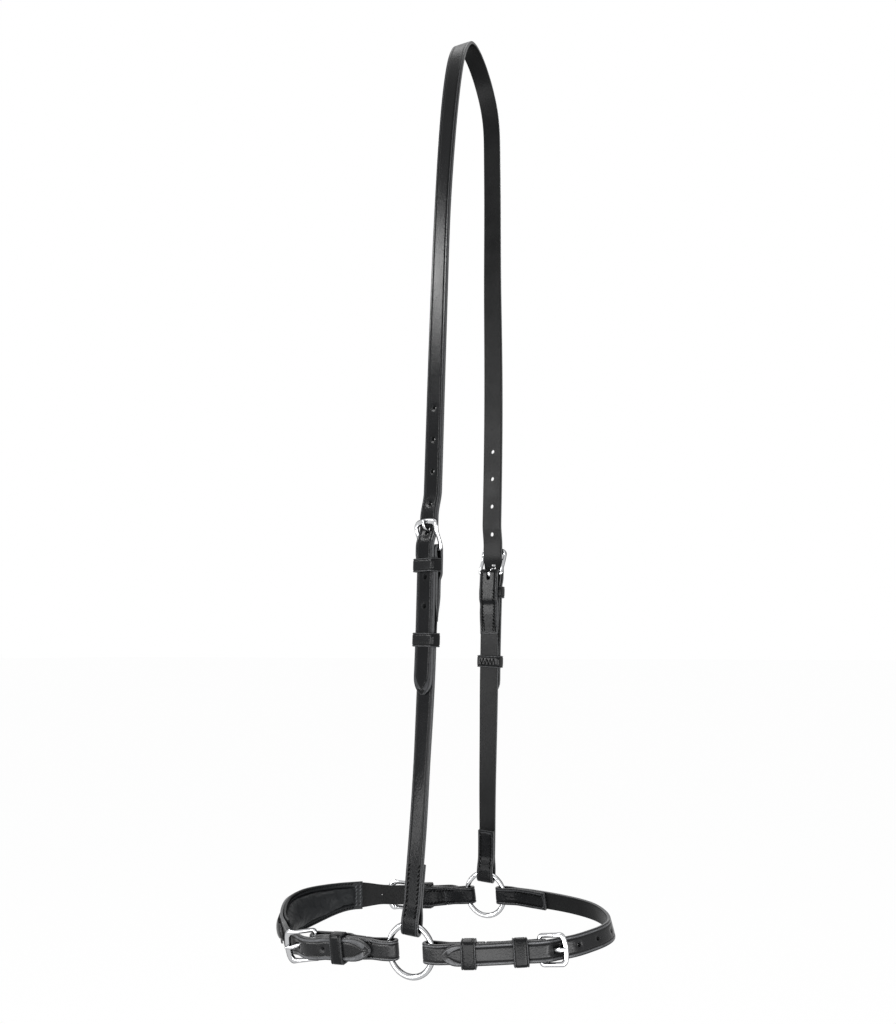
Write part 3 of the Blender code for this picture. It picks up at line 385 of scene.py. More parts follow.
def leatherGrainGroup():
    # pebbled grain with pores, and slow uneven dye
    group, given = newGroup("leatherGrain", ["grainScale", "poreScale", "pebble", "uneven"])
    place = objectPlace(group)
    warp = noiseNode(group, place, 320.0, 2.0)["Color"]
    bent = addNode(group, "ShaderNodeVectorMath", {0: warp, 1: [1.1 * mm] * 3}, operation="MULTIPLY")
    shifted = addNode(group, "ShaderNodeVectorMath", {0: place, 1: bent.outputs[0]}, operation="ADD")
    cells = addNode(group, "ShaderNodeTexVoronoi",
                    {"Vector": shifted.outputs[0], "Scale": given["grainScale"]}, feature="SMOOTH_F1")
    cells.inputs["Smoothness"].default_value = 0.6
    pores = noiseNode(group, place, given["poreScale"], 3.0, 0.65)["Fac"]
    slow = noiseNode(group, place, 38.0, 3.0)["Fac"]
    domed = rangeNode(group, cells.outputs["Distance"], 0.05, 0.75, 1.0, 0.0)
    domed = mathNode(group, "MULTIPLY", domed, given["pebble"])
    tone = mathNode(group, "MULTIPLY_ADD", mathNode(group, "SUBTRACT", slow, 0.5), given["uneven"], 0.5)
    tone = mathNode(group, "MULTIPLY_ADD", mathNode(group, "SUBTRACT", pores, 0.5), 0.25, tone)
    return endGroup(group, {
        "height": mathNode(group, "MULTIPLY_ADD", pores, 0.45, domed), "tone": tone,
        "dullness": mathNode(group, "MULTIPLY_ADD", domed, -0.35, slow, clamp=True)})


def edgeWearAndPaintedLightGroup():
    # marks on leather: millimetres from the cut edge, negative on it, and 1 on the grain side
    # its masks give edge wear and painted light: highlights on the edges and the ridge, shade in the crease
    group, given = newGroup("edgeWearAndPaintedLight", ["rub", "creaseInset", "creaseWidth"])
    away, grainSide = edgeMarks(group)
    chafe = noiseNode(group, objectPlace(group), 260.0, 4.0, 0.7)["Fac"]
    reach = mathNode(group, "MULTIPLY", given["rub"], mathNode(group, "ADD", chafe, 0.35))

    def line(distance):
        return rangeNode(group, mathNode(group, "ABSOLUTE", distance), 0.0, given["creaseWidth"], 1.0, 0.0)
    # the crease mask darkens the colour in the crease's groove: painted shade
    onCrease = mathNode(group, "SUBTRACT", away, given["creaseInset"])
    # the ridge beside it lightens the colour: a painted highlight
    beside = mathNode(group, "MULTIPLY_ADD", given["creaseWidth"], 1.35, onCrease)
    return endGroup(group, {
        # rubbed edges are lighter: edge wear together with a painted highlight on the edge bevel
        "rubbedWithHighlight": rangeNode(group, away, 0.0, reach, 1.0, 0.0),
        "crease": mathNode(group, "MULTIPLY", line(onCrease), grainSide),
        "ridge": mathNode(group, "MULTIPLY", line(beside), mathNode(group, "MULTIPLY", grainSide, chafe)),
        # the cut edge is lighter: burnish together with a painted highlight
        "cutEdge": rangeNode(group, away, -0.35, 0.0, 1.0, 0.0)})


def metalPolishAndPaintedShadeGroup():
    # fine wiping marks and faint waviness of polished steel; the second mark is 1 on a bar's flanks, which
    # are painted darker as shade
    group, given = newGroup("metalPolishAndPaintedShade", ["markScale", "clean", "wiped"])
    place = objectPlace(group)
    stretched = addNode(group, "ShaderNodeMapping",
                        {"Vector": place, "Scale": (1.0, 0.18, 0.6), "Rotation": (0.4, 0.9, 0.2)})
    lines = noiseNode(group, stretched.outputs[0], given["markScale"], 4.0, 0.7)["Fac"]
    cloudy = noiseNode(group, place, 150.0, 2.0)["Fac"]
    rough = rangeNode(group, mathNode(group, "MULTIPLY", lines, cloudy), 0.12, 0.42, given["clean"],
                      given["wiped"])
    uneven = mathNode(group, "MULTIPLY_ADD", cloudy, 0.3, edgeMarks(group)[1])
    # the flanks are painted darker: painted shade that stands for dark reflections
    shadedFlank = rangeNode(group, uneven, 0.75, 1.12, 0.0, 1.0)
    return endGroup(group, {
        "height": mathNode(group, "MULTIPLY_ADD", cloudy, 1.5, lines), "tone": cloudy, "shadedFlank": shadedFlank,
        "roughness": mathNode(group, "MULTIPLY_ADD", shadedFlank, 0.14, rough)})


def threadTwistGroup():
    # plies of a waxed thread; the marks run along the stitch and round it
    group, given = newGroup("threadTwist", ["plies", "twist"])
    along, around = edgeMarks(group)
    phase = mathNode(group, "ADD", mathNode(group, "MULTIPLY", along, given["twist"]),
                     mathNode(group, "MULTIPLY", around, given["plies"]))
    wave = mathNode(group, "SINE", mathNode(group, "MULTIPLY", phase, 2 * math.pi))
    fuzz = noiseNode(group, objectPlace(group), 3000.0, 2.0)["Fac"]
    return endGroup(group, {"height": mathNode(group, "MULTIPLY_ADD", fuzz, 0.6, wave), "tone": fuzz})


def newMaterial(name, plain):
    made = bpy.data.materials.new(name)
    made.use_nodes = True
    shader = made.node_tree.nodes["Principled BSDF"]
    for key, value in plain.items():
        shader.inputs[key].default_value = value
    return made, made.node_tree, shader


def placeGroup(tree, group, look):
    # each input of the group takes the look's value of that name
    node = addNode(tree, "ShaderNodeGroup", node_tree=group)
    for socket in node.inputs:
        socket.default_value = look[socket.name]
    return node.outputs


def feed(tree, shader, sources, height, depth):
    # what changes over the surface, and its bump
    bump = addNode(tree, "ShaderNodeBump", {"Strength": 1.0, "Distance": depth, "Height": height})
    for key, source in dict(sources, Normal=bump.outputs["Normal"]).items():
        tree.links.new(source, shader.inputs[key])


def leatherMaterial(name, look):
    made, tree, shader = newMaterial(name, {"Specular IOR Level": look["specular"]})
    grain, edge = placeGroup(tree, leatherGrain, look), placeGroup(tree, edgeWearAndPaintedLight, look)
    colour = mixColour(tree, grain["tone"], look["dark"], look["light"])
    # the edge marks mix edge wear and painted light into the colour: highlights on edges and ridge, shade in
    # the crease
    for mark in ("rubbedWithHighlight", "cutEdge", "ridge", "crease"):
        share = mathNode(tree, "MULTIPLY", edge[mark], look[mark + "Share"])
        colour = mixColour(tree, share, colour, look[mark])
    rough = rangeNode(tree, grain["dullness"], 0.2, 0.8, look["smooth"], look["dull"])
    rough = mathNode(tree, "MULTIPLY_ADD", edge["rubbedWithHighlight"], -0.06, rough, clamp=True)
    rough = mathNode(tree, "MULTIPLY_ADD", edge["crease"], 0.25, rough, clamp=True)
    feed(tree, shader, {"Base Color": colour, "Roughness": rough}, grain["height"], look["depth"])
    return made


def threadMaterial(name, look):
    made, tree, shader = newMaterial(name, {"Roughness": look["roughness"],
                                            "Specular IOR Level": look["specular"]})
    twist = placeGroup(tree, threadTwist, look)
    colour = mixColour(tree, twist["tone"], look["dark"], look["light"])
    feed(tree, shader, {"Base Color": colour}, twist["height"], look["depth"])
    return made


def steelMaterial(name, look):
    made, tree, shader = newMaterial(name, {"Metallic": 1.0, "Specular Tint": look["grazing"]})
    polish = placeGroup(tree, metalPolishAndPaintedShade, look)
    bright = mixColour(tree, polish["tone"], look["dark"], look["light"])
    # the flanks take a dark colour: painted shade
    colour = mixColour(tree, polish["shadedFlank"], bright, look["shadedFlank"])
    sources = {"Base Color": colour, "Roughness": polish["roughness"]}
    feed(tree, shader, sources, polish["height"], look["depth"])
    return made


# dark and light: the dye's two tones; smooth and dull: its two roughnesses; creaseInset in millimetres
headFinish = {
    "dark": (0.0014, 0.0015, 0.0017, 1.0), "light": (0.0040, 0.0042, 0.0046, 1.0),
    # rubbed: edge wear together with a painted highlight on the edge bevel
    "rubbedWithHighlight": (0.014, 0.0143, 0.0150, 1.0), "rubbedWithHighlightShare": 0.7, "rub": 0.7,
    # cutEdge: burnished cut edge together with a painted highlight
    "cutEdge": (0.060, 0.061, 0.063, 1.0), "cutEdgeShare": 0.65,
    # ridge: a painted highlight beside the crease
    "ridge": (0.095, 0.097, 0.102, 1.0), "ridgeShare": 0.38,
    # crease: painted shade in the crease's groove
    "crease": (0.0010, 0.0010, 0.0011, 1.0), "creaseShare": 0.85, "creaseInset": 1.7, "creaseWidth": 0.5,
    "specular": 0.075, "smooth": 0.18, "dull": 0.28,
    "grainScale": 900.0, "poreScale": 2600.0, "pebble": 1.0, "uneven": 0.6, "depth": 0.035 * mm,
}
loopFinish = dict(headFinish, light=(0.0065, 0.0067, 0.0073, 1.0), specular=0.19, smooth=0.27, dull=0.40,
                  ridgeShare=0.9)
keeperFinish = dict(loopFinish, light=(0.0038, 0.0040, 0.0044, 1.0), specular=0.11, smooth=0.24, dull=0.36,
                    creaseInset=1.15, creaseWidth=0.42, ridgeShare=0.4)
fleshFinish = dict(headFinish, dark=(0.0018, 0.0019, 0.0020, 1.0), light=(0.0062, 0.0063, 0.0065, 1.0),
                   specular=0.055, smooth=0.28, dull=0.42, rubbedWithHighlightShare=0.2, ridgeShare=0.0, creaseWidth=0.01,
                   grainScale=1500.0, pebble=0.3, uneven=1.2, depth=0.05 * mm)
padFinish = dict(headFinish, dark=(0.0046, 0.0052, 0.0058, 1.0), light=(0.0110, 0.0120, 0.0130, 1.0),
                 specular=0.13, smooth=0.46, dull=0.66, rubbedWithHighlightShare=0.9, ridgeShare=0.0, creaseInset=3.1,
                 creaseWidth=0.55, grainScale=1100.0, depth=0.04 * mm)
wornFinish = dict(headFinish, light=(0.0050, 0.0052, 0.0057, 1.0), specular=0.055, smooth=0.2, dull=0.44,
                  grainScale=560.0, poreScale=1200.0, pebble=1.2, uneven=1.3, depth=0.1 * mm)
overlayFinish = dict(loopFinish, smooth=0.3, dull=0.45, creaseWidth=0.01, ridgeShare=0.0)
blackThreadLook = {"dark": (0.0005, 0.0005, 0.0006, 1.0), "light": (0.0022, 0.0022, 0.0023, 1.0),
                   "roughness": 0.8, "specular": 0.03, "plies": 2.0, "twist": 1.6, "depth": 0.06 * mm}
greyThreadLook = dict(blackThreadLook, dark=(0.03, 0.032, 0.034, 1.0), light=(0.09, 0.094, 0.098, 1.0))
ringSteelLook = {"dark": (0.46, 0.465, 0.475, 1.0), "light": (0.58, 0.585, 0.595, 1.0),
                 # the dark colour below is painted shade on the flanks
                 "shadedFlank": (0.10, 0.102, 0.106, 1.0), "grazing": (0.02, 0.02, 0.022, 1.0),
                 "clean": 0.05, "wiped": 0.16, "markScale": 1200.0, "depth": 0.006 * mm}
buckleSteelLook = dict(ringSteelLook, clean=0.07, wiped=0.2, markScale=1500.0)
tongueSteelLook = dict(ringSteelLook, clean=0.10, wiped=0.26, markScale=1800.0)

leatherGrain = leatherGrainGroup()
edgeWearAndPaintedLight = edgeWearAndPaintedLightGroup()
metalPolishAndPaintedShade = metalPolishAndPaintedShadeGroup()
threadTwist = threadTwistGroup()
headLeather = leatherMaterial("headLeather", headFinish)
loopLeather = leatherMaterial("loopLeather", loopFinish)
fleshSide = leatherMaterial("fleshSide", fleshFinish)
keeperLeather = leatherMaterial("keeperLeather", keeperFinish)
padLeather = leatherMaterial("padLeather", padFinish)
wornLeather = leatherMaterial("wornLeather", wornFinish)
overlayLeather = leatherMaterial("overlayLeather", overlayFinish)
blackThread = threadMaterial("blackThread", blackThreadLook)
greyThread = threadMaterial("greyThread", greyThreadLook)
ringSteel = steelMaterial("ringSteel", ringSteelLook)
buckleSteel = steelMaterial("buckleSteel", buckleSteelLook)
tongueSteel = steelMaterial("tongueSteel", tongueSteelLook)
print("materials ready")


# Mesh builders

def skin(name, rings, marks, look, closed=False, angle=fine["sharp"], inside=None):
    # a closed body through a row of equal rings of points; marks is one pair of numbers per point
    rings = np.asarray(rings, dtype=float)
    rows, count = rings.shape[:2]
    faces = []
    for i in range(rows if closed else rows - 1):
        j = (i + 1) % rows
        for k in range(count):
            m = (k + 1) % count
            faces.append((i * count + k, i * count + m, j * count + m, j * count + k))
    if not closed:
        faces.append(tuple(reversed(range(count))))
        faces.append(tuple(range((rows - 1) * count, rows * count)))
    return meshPiece(name, rings.reshape(-1, 3), faces, np.asarray(marks, dtype=float).reshape(-1, 2), look,
                     angle, inside)


def meshPiece(name, points, faces, marks, look, angle=fine["sharp"], inside=None):
    data = bpy.data.meshes.new(name)
    data.from_pydata([tuple(p) for p in points], [], faces)
    corners = np.empty(len(data.loops), dtype=np.int32)
    data.loops.foreach_get("vertex_index", corners)
    layer = data.uv_layers.new(name="edge")
    layer.data.foreach_set("uv", np.asarray(marks)[corners].ravel())
    data.update()
    if signedVolume(data) < 0:
        data.flip_normals()
    data.shade_smooth()
    data.set_sharp_from_angle(angle=math.radians(angle))
    data.materials.append(look)
    if inside:
        # faces away from the grain take the flesh side's leather
        data.materials.append(inside)
        for face in data.polygons:
            near, grain = np.asarray(marks)[list(face.vertices)].mean(axis=0)
            face.material_index = int(grain < 0.5 and near > 0)
    return addObject(name, data)


def signedVolume(data):
    data.calc_loop_triangles()
    count = len(data.loop_triangles)
    index = np.empty(count * 3, dtype=np.int32)
    data.loop_triangles.foreach_get("vertices", index)
    points = np.empty(len(data.vertices) * 3)
    data.vertices.foreach_get("co", points)
    corners = points.reshape(-1, 3)[index].reshape(-1, 3, 3)
    return float(np.einsum("ij,ij->i", corners[:, 0], np.cross(corners[:, 1], corners[:, 2])).sum())


def direction(path, index, closed=False):
    count = len(path)
    before = path[index - 1] if index or closed else path[0]
    after = path[(index + 1) % count] if index < count - 1 or closed else path[-1]
    along = np.array([after[0] - before[0], after[1] - before[1]])
    return along / np.linalg.norm(along)


strapCut = {
    # mm in from the edge, share of half the thickness taken off, mark (negative on the cut edge)
    "edge": [(0.0, 1.0, -0.6), (0.0, 0.45, -0.45), (0.07, 0.22, -0.1), (0.26, 0.06, 0.26), (0.55, 0.0, 0.55),
             (0.95, 0.0, 0.95)],
    "creaseInset": 1.7 * mm, "creaseMark": 1.7, "creaseHalf": 0.42, "creaseDepth": 0.30,
    "crease": [(1.0, 0.06), (0.4, 0.75), (0.0, 1.0), (-0.4, 0.75), (-1.0, 0.06)],    # across it, depth
    "creaseLeast": 0.5, "creaseKeep": 1.45,      # mm from the strap's middle and from its edge
    "crown": 0.02 * mm, "body": [0.85, 0.62, 0.40, 0.20],
    "fullFrom": 2.6 * mm,        # a narrower half than this shrinks the edge and the crease
    "endRound": 0.3 * mm, "endNarrow": 0.95, "endThin": 0.7, "pared": 0.12,
}


def strapSection(width, thickness, creaseAt, strength):
    # (across, height, mark, 1 on the grain side) round a strap; creaseAt is the crease's place across
    half, lift = width / 2, thickness / 2
    fit = min(1.0, half / strapCut["fullFrom"])
    side = [(half - away * mm * fit, lift * (1 - drop), mark) for away, drop, mark in strapCut["edge"]]
    least, most = strapCut["creaseLeast"] * mm * fit, half - strapCut["creaseKeep"] * mm * fit
    creaseAt = max(least, min(creaseAt, most))
    for shift, share in strapCut["crease"]:
        mark = strapCut["creaseMark"] - shift * strapCut["creaseHalf"] + 2.5 * (1 - strength)
        side.append((creaseAt + shift * strapCut["creaseHalf"] * mm * fit,
                     lift - strapCut["creaseDepth"] * mm * fit * share * strength, mark))
    inner = side[-1][0]
    for share in strapCut["body"]:
        side.append((inner * share, lift + strapCut["crown"], 3.0 + (1 - share)))
    top = [(b, h, e, 1.0) for b, h, e in side]
    top.append((0.0, lift + strapCut["crown"], 5.0, 1.0))
    top += [(-b, h, e, 1.0) for b, h, e in reversed(side)]
    left = [(-(half - away * mm * fit), -lift * (1 - drop), mark, 0.0)
            for away, drop, mark in strapCut["edge"][1:]]
    under = left + [(-half * 0.5, -lift, 3.0, 0.0), (0.0, -lift, 4.0, 0.0), (half * 0.5, -lift, 3.0, 0.0)]
    under += [(-b, h, e, f) for b, h, e, f in reversed(left)]
    return np.array(top + under)


def alongEdge(inset):
    # a crease that keeps its distance from the edge
    return lambda s, half: (half - inset, 1.0)


def toPoint(inset, tips, cusp, reach):
    # a crease that closes to a point before each tip; tips are (place of the tip, +1 or -1 inward)
    def at(s, half):
        for tip, inward in tips:
            beyond = (s - tip) * inward - cusp
            if beyond < reach:
                part = max(0.0, min(1.0, 1 - beyond / reach))
                closing = (half - inset) * max(0.0, 1 - part ** 2) ** 0.8
                return min(closing, half - inset), smooth(beyond, -1.2 * mm, 0.0)
        return half - inset, 1.0
    return at


def strap(name, route, path, width, look=None, crease=None, holes=(), skive=0.0, worn=None):
    # a flat strap whose middle follows path; holes are (s, length, width) where the grain side dips,
    # skive the length over which the last end is pared thin, worn the finish of turned-back layers
    crease = crease or alongEdge(strapCut["creaseInset"])
    clean = [point for index, point in enumerate(path)
             if index == 0 or math.dist(point, path[index - 1]) > 0.05 * mm]
    s = np.array([p[0] for p in clean])
    n = np.array([p[1] for p in clean])
    place, tangent, normal, across = route.frames(s)
    rings, marks = [], []
    last = len(clean) - 1
    for index in range(last + 1):
        along = direction(clean, index)
        up = normal[index] * along[0] - tangent[index] * along[1]
        ahead = tangent[index] * along[0] + normal[index] * along[1]
        middle = place[index] + normal[index] * n[index]
        wide = width(s[index])
        section = strapSection(wide, leather, *crease(s[index], wide / 2))
        b, h = section[:, 0], section[:, 1].copy()
        if skive and index > last / 2:
            whole = smooth(abs(s[index] - s[last]), 0.0, skive)
            h = (h + leather / 2) * (strapCut["pared"] + (1 - strapCut["pared"]) * whole) - leather / 2
        for at, long, broad in holes:
            near = np.hypot(np.maximum(0.0, abs(s[index] - at) - (long - broad) / 2), b) / (broad / 2)
            reach = holeSize["dimpleReach"]
            part = np.clip((reach - near) / (reach - 0.9), 0.0, 1.0)
            h -= holeSize["dimple"] * part * part * (3 - 2 * part) * section[:, 3] * (h > 0)
        ring = middle + np.outer(b, across[index]) + np.outer(h, up)
        if index in (0, last):
            outward = -1.0 if index == 0 else 1.0
            cap = middle + ahead * outward * strapCut["endRound"]
            cap = cap + np.outer(b * strapCut["endNarrow"], across[index])
            cap = cap + np.outer(h * strapCut["endThin"], up)
            edge = np.stack([np.full(len(b), -0.5), section[:, 3]], axis=1)
            inner = np.stack([np.minimum(section[:, 2], 0.3), section[:, 3]], axis=1)
            rings += [cap, ring] if index == 0 else [ring, cap]
            marks += [edge, inner] if index == 0 else [inner, edge]
        else:
            rings.append(ring)
            marks.append(section[:, 2:4])
    made = skin(name, rings, marks, look or headLeather, inside=fleshSide)
    if worn:
        made.data.materials.append(worn)
        count = len(rings[0])
        for face in made.data.polygons:
            ring = min(face.index // count, last)
            if face.material_index == 0 and n[ring] < -gap:
                face.material_index = 2
    return made


# the point of a billet: what is cut off its tip, its least width and the bow of its sides
pointCut = {"blunt": 0.25 * mm, "least": 0.10, "bow": 2.1, "full": 0.6}


def pointed(width, tipLength, distance):
    if distance >= tipLength:
        return width
    part = max(0.0, 1 - (distance + pointCut["blunt"]) / tipLength)
    return width * max(pointCut["least"], (1 - part ** pointCut["bow"]) ** pointCut["full"])


def punch(piece, route, cutters, flesh, grain=holeSize["grainSide"]):
    # cutters are (s, length, width, low, high); flesh and grain are shares of the width at low and high
    mesh = bmesh.new()
    for s, long, wide, low, high in cutters:
        place, tangent, normal, across = [part[0] for part in route.frames([s])]
        reach = max(0.0, (long - wide) / 2)
        ends = []
        for height, radius in ((low, wide / 2 * flesh), (high, wide / 2 * grain)):
            ring = []
            for turn in turns(fine["round"], 0.5):
                u = math.copysign(reach, math.cos(turn)) + radius * math.cos(turn)
                ring.append(mesh.verts.new(Vector(place + tangent * u + across * radius * math.sin(turn)
                                                  + normal * height)))
            ends.append(ring)
        for step in range(fine["round"]):
            after = (step + 1) % fine["round"]
            mesh.faces.new((ends[0][step], ends[0][after], ends[1][after], ends[1][step]))
        mesh.faces.new(list(reversed(ends[0])))
        mesh.faces.new(ends[1])
    bmesh.ops.recalc_face_normals(mesh, faces=mesh.faces)
    data = bpy.data.meshes.new("punch")
    mesh.to_mesh(data)
    mesh.free()
    if signedVolume(data) < 0:
        data.flip_normals()
    for look in (headLeather, fleshSide):
        data.materials.append(look)
    data.polygons.foreach_set("material_index", [1] * len(data.polygons))
    tool = addObject("punch", data)
    modifier = piece.modifiers.new("holes", "BOOLEAN")
    modifier.operation = "DIFFERENCE"
    modifier.solver = "EXACT"
    modifier.object = tool
    bpy.context.view_layer.update()
    evaluated = piece.evaluated_get(bpy.context.evaluated_depsgraph_get())
    cutMesh = bpy.data.meshes.new_from_object(evaluated)
    piece.modifiers.clear()
    piece.data = cutMesh
    bpy.data.objects.remove(tool, do_unlink=True)
    cutMesh.shade_smooth()
    cutMesh.set_sharp_from_angle(angle=math.radians(fine["sharp"]))
    return piece


def hole(s, height, long, wide):
    reach = leather * holeSize["through"]
    return (s, long, wide, height - reach, height + reach)


def dress(piece, body, slot, *nodes):
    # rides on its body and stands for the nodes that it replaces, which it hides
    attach(piece, body)
    if nodes:
        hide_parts(*nodes)
    return piece


# Stitches: short waxed threads laid in (along, across, height) beside a route

stitchCut = {
    "pitch": 2.4 * mm, "length": 2.15 * mm, "slant": 0.5 * mm, "radius": 0.47 * mm,
    "flat": 0.85, "proud": 0.07 * mm, "sunk": 0.45 * mm, "sides": 8,
    # share of the stitch, and how far it is proud of the leather or sunk in it
    "rise": ((0.0, -1.0), (0.12, 0.1), (0.35, 0.85), (0.5, 1.0), (0.65, 0.85), (0.88, 0.1), (1.0, -1.0)),
}


def stitchRow(route, start, end, beside, face, outward=1.0, crossing=False):
    # from start to end along the strap or, crossing, across it; face(s) is the height of the leather
    count = max(1, int(abs(end - start) / stitchCut["pitch"]))
    length = math.copysign(stitchCut["length"], end - start)
    tubes = []
    for index in range(count):
        first = start + (end - start) * (index + 0.5) / count - length / 2
        tube = []
        for share, rise in stitchCut["rise"]:
            at, aside = first + length * share, beside + stitchCut["slant"] * (share - 0.5) * 2
            s, b = (aside, at) if crossing else (at, aside)
            lift = (stitchCut["proud"] if rise > 0 else stitchCut["sunk"]) * rise
            tube.append((s, b, face(s) + outward * lift, stitchCut["radius"] * (0.75 if rise < 0 else 1.0)))
        tubes.append(tube)
    return route, tubes, crossing


def bothFaces(route, start, end, beside, face):
    # rows at both sides of both faces; face(s, outward) is the height of the leather
    rows = []
    for outward in (1.0, -1.0):
        last = end(outward) if callable(end) else end
        for hand in (-1, 1):
            rows.append(stitchRow(route, start, last, hand * beside,
                                  lambda s, o=outward: face(s, o), outward))
    return rows


def threads(name, rows, body, look=None):
    # all the stitches of some rows as one mesh
    points, faces, marks = [], [], []
    sides = stitchCut["sides"]
    for route, tubes, crossing in rows:
        for tube in tubes:
            base, last = len(points), len(tube) - 1
            place, tangent, normal, across = route.frames([p[0] for p in tube])
            for index, (_, b, height, radius) in enumerate(tube):
                centre = place[index] + across[index] * b + normal[index] * height
                flat = tangent[index] if crossing else across[index]
                for step, turn in enumerate(turns(sides)):
                    points.append(centre + flat * radius * math.cos(turn)
                                  + normal[index] * radius * stitchCut["flat"] * math.sin(turn))
                    marks.append((index / last, step / sides))
            for index in range(last):
                low, high = base + index * sides, base + (index + 1) * sides
                for step in range(sides):
                    after = (step + 1) % sides
                    faces.append((low + step, low + after, high + after, high + step))
            faces.append(tuple(base + step for step in reversed(range(sides))))
            faces.append(tuple(base + last * sides + step for step in range(sides)))
    return dress(meshPiece(name, points, faces, marks, look or blackThread, 60.0), body, "leather")


# Routes, as the leather hangs; drawn in millimetres from the middle of the ring axis

ringAxis = Vector([joint for joint in frame["joints"] if joint["name"] == "nose_swing"][0]["pos_m"])
# degrees: the tilt of both loops, the turn of the cheeks between ring and crown, the lean of both loops
hang = {"noseDroop": 5.2, "chinRise": 3.4, "nearTwist": 22.0, "farTwist": 8.0, "noseFlare": 8.0,
        "chinFlare": 11.0}
headFrame = Matrix.Translation(ringAxis)
noseFrame = headFrame @ Matrix.Rotation(math.radians(-hang["noseDroop"]), 4, "Y")
chinFrame = headFrame @ Matrix.Rotation(math.radians(-hang["chinRise"]), 4, "Y")


def headRoute():
    near = [(0.0, 62.5, 0.0), (0.7, 62.5, 15.0), (1.6, 61.9, 32.0), (3.2, 59.6, 62.0), (5.8, 56.8, 120.0),
            (7.8, 55.2, 180.0), (9.2, 55.2, 240.0), (10.8, 55.0, 300.0), (12.3, 54.4, 360.0),
            (13.7, 53.2, 420.0), (14.9, 50.8, 480.0), (15.8, 48.6, 515.0), (16.6, 45.2, 550.0),
            (17.4, 40.2, 585.0), (17.6, 33.5, 612.0), (17.0, 23.6, 633.0), (17.0, 13.0, 645.1)]
    far = [(0.0, 62.5, 0.0), (0.7, 62.5, 15.0), (1.5, 61.9, 32.0), (2.7, 59.6, 62.0), (4.9, 56.8, 120.0),
           (7.0, 55.2, 180.0), (9.3, 55.2, 240.0), (11.3, 55.0, 300.0), (12.9, 54.4, 360.0),
           (13.8, 53.2, 420.0), (14.7, 50.8, 480.0), (15.8, 48.8, 515.0), (17.2, 45.8, 550.0),
           (18.8, 41.6, 585.0), (19.6, 36.6, 612.0), (18.4, 26.6, 633.0), (17.2, 14.0, 645.1)]
    knots = [(x * mm, -y * mm, z * mm) for x, y, z in near] + [(17.0 * mm, 0.0, 648.5 * mm)]
    knots += [(x * mm, y * mm, z * mm) for x, y, z in reversed(far)]

    def across(s, length, tangent):
        middle = length / 2

        def twist(at):
            return smooth(at, 26 * mm, 120 * mm) * (1 - smooth(at, middle - 200 * mm, middle - 25 * mm))
        turn = -math.radians(hang["nearTwist"] * twist(s) + hang["farTwist"] * twist(length - s))
        return (math.cos(turn), math.sin(turn), 0.0)
    return Route(knots, across).moved(headFrame)


def loopRoute(near, far, reach, up, flare, place):
    knots = [(-up * x * mm, -y * mm, z * mm) for x, y, z in near] + [(-up * reach * mm, 0.0, 0.0)]
    knots += [(-up * x * mm, y * mm, z * mm) for x, y, z in reversed(far)]

    def across(s, length, tangent):
        lean = math.radians(flare(min(s, length - s), length / 2))
        outward = np.cross((0.0, 0.0, up), tangent)
        outward /= np.linalg.norm(outward)
        return tuple(up * (math.cos(lean) * np.array([0.0, 0.0, 1.0]) + math.sin(lean) * outward))
    return Route(knots, across).moved(place)


def noseRoute():
    near = [(0.0, 62.5, 0.0), (16.0, 62.5, 0.0), (32.0, 62.2, 0.0), (60.0, 60.6, -0.2), (80.0, 57.0, -0.6),
            (96.0, 48.5, -0.9), (109.0, 37.0, -0.9), (120.0, 20.5, -0.4)]
    far = [(0.0, 62.5, 0.0), (16.0, 62.5, -0.8), (32.0, 62.2, -1.7), (60.0, 61.2, -2.1), (80.0, 58.8, -1.3),
           (97.0, 53.0, 0.0), (111.0, 43.5, 0.6), (121.5, 27.5, 0.3)]

    def flare(s, middle):
        return hang["noseFlare"] * (smooth(s, 20 * mm, 75 * mm) - 0.75 * smooth(s, 90 * mm, middle))
    return loopRoute(near, far, 127.0, 1, flare, noseFrame)


def chinRoute():
    # drawn for a reach of 107, and taken in to the strap's own
    drawn, reach = 107.0, 106.0
    side = [(x * reach / drawn, y, 0.0)
            for x, y in ((0.0, 62.5), (10.0, 62.5), (19.0, 62.4), (35.0, 59.0), (55.0, 52.8), (73.0, 45.2),
                         (88.0, 35.5), (100.0, 20.5))]

    def flare(s, middle):
        return -hang["chinFlare"] * smooth(s, 20 * mm, 70 * mm)
    return loopRoute(side, side, reach, -1, flare, chinFrame)


# Steel

# the weld's place and length are in radians round the ring
ringLook = {"around": 120, "sides": 24, "weldAt": 0.0, "weldLong": 0.10, "weldProud": 0.10 * mm}


def ringPiece(side):
    # a bent and welded wire; the weld is a faint swelling
    rings, marks = [], []
    centre = ringAxis + Vector((0.0, -halfSpacing if side == "near" else halfSpacing, 0.0))
    for turn in turns(ringLook["around"]):
        away = math.atan2(math.sin(turn - ringLook["weldAt"]), math.cos(turn - ringLook["weldAt"]))
        wire = wireRadius + ringLook["weldProud"] * math.exp(-(away / ringLook["weldLong"]) ** 2)
        ring, mark = [], []
        for roll in turns(ringLook["sides"]):
            radius = ringMean + wire * math.cos(roll)
            ring.append((centre.x + radius * math.cos(turn), centre.y + wire * math.sin(roll),
                         centre.z + radius * math.sin(turn)))
            # 1 on the wire's inner and outer rims, which are painted darker as shade
            mark.append((0.0, math.cos(roll) ** 2))
        rings.append(ring)
        marks.append(mark)
    made = skin(side + "Ring", rings, marks, ringSteel, closed=True)
    return dress(made, side + "_ring", "steel", side + "_ring")


def seat(route, s):
    # places by (ahead, sideways, outward) from the middle of a strap
    place, ahead, outward, across = [part[0] for part in route.frames([s])]
    return lambda u, v, h: place + ahead * u - across * v + outward * h


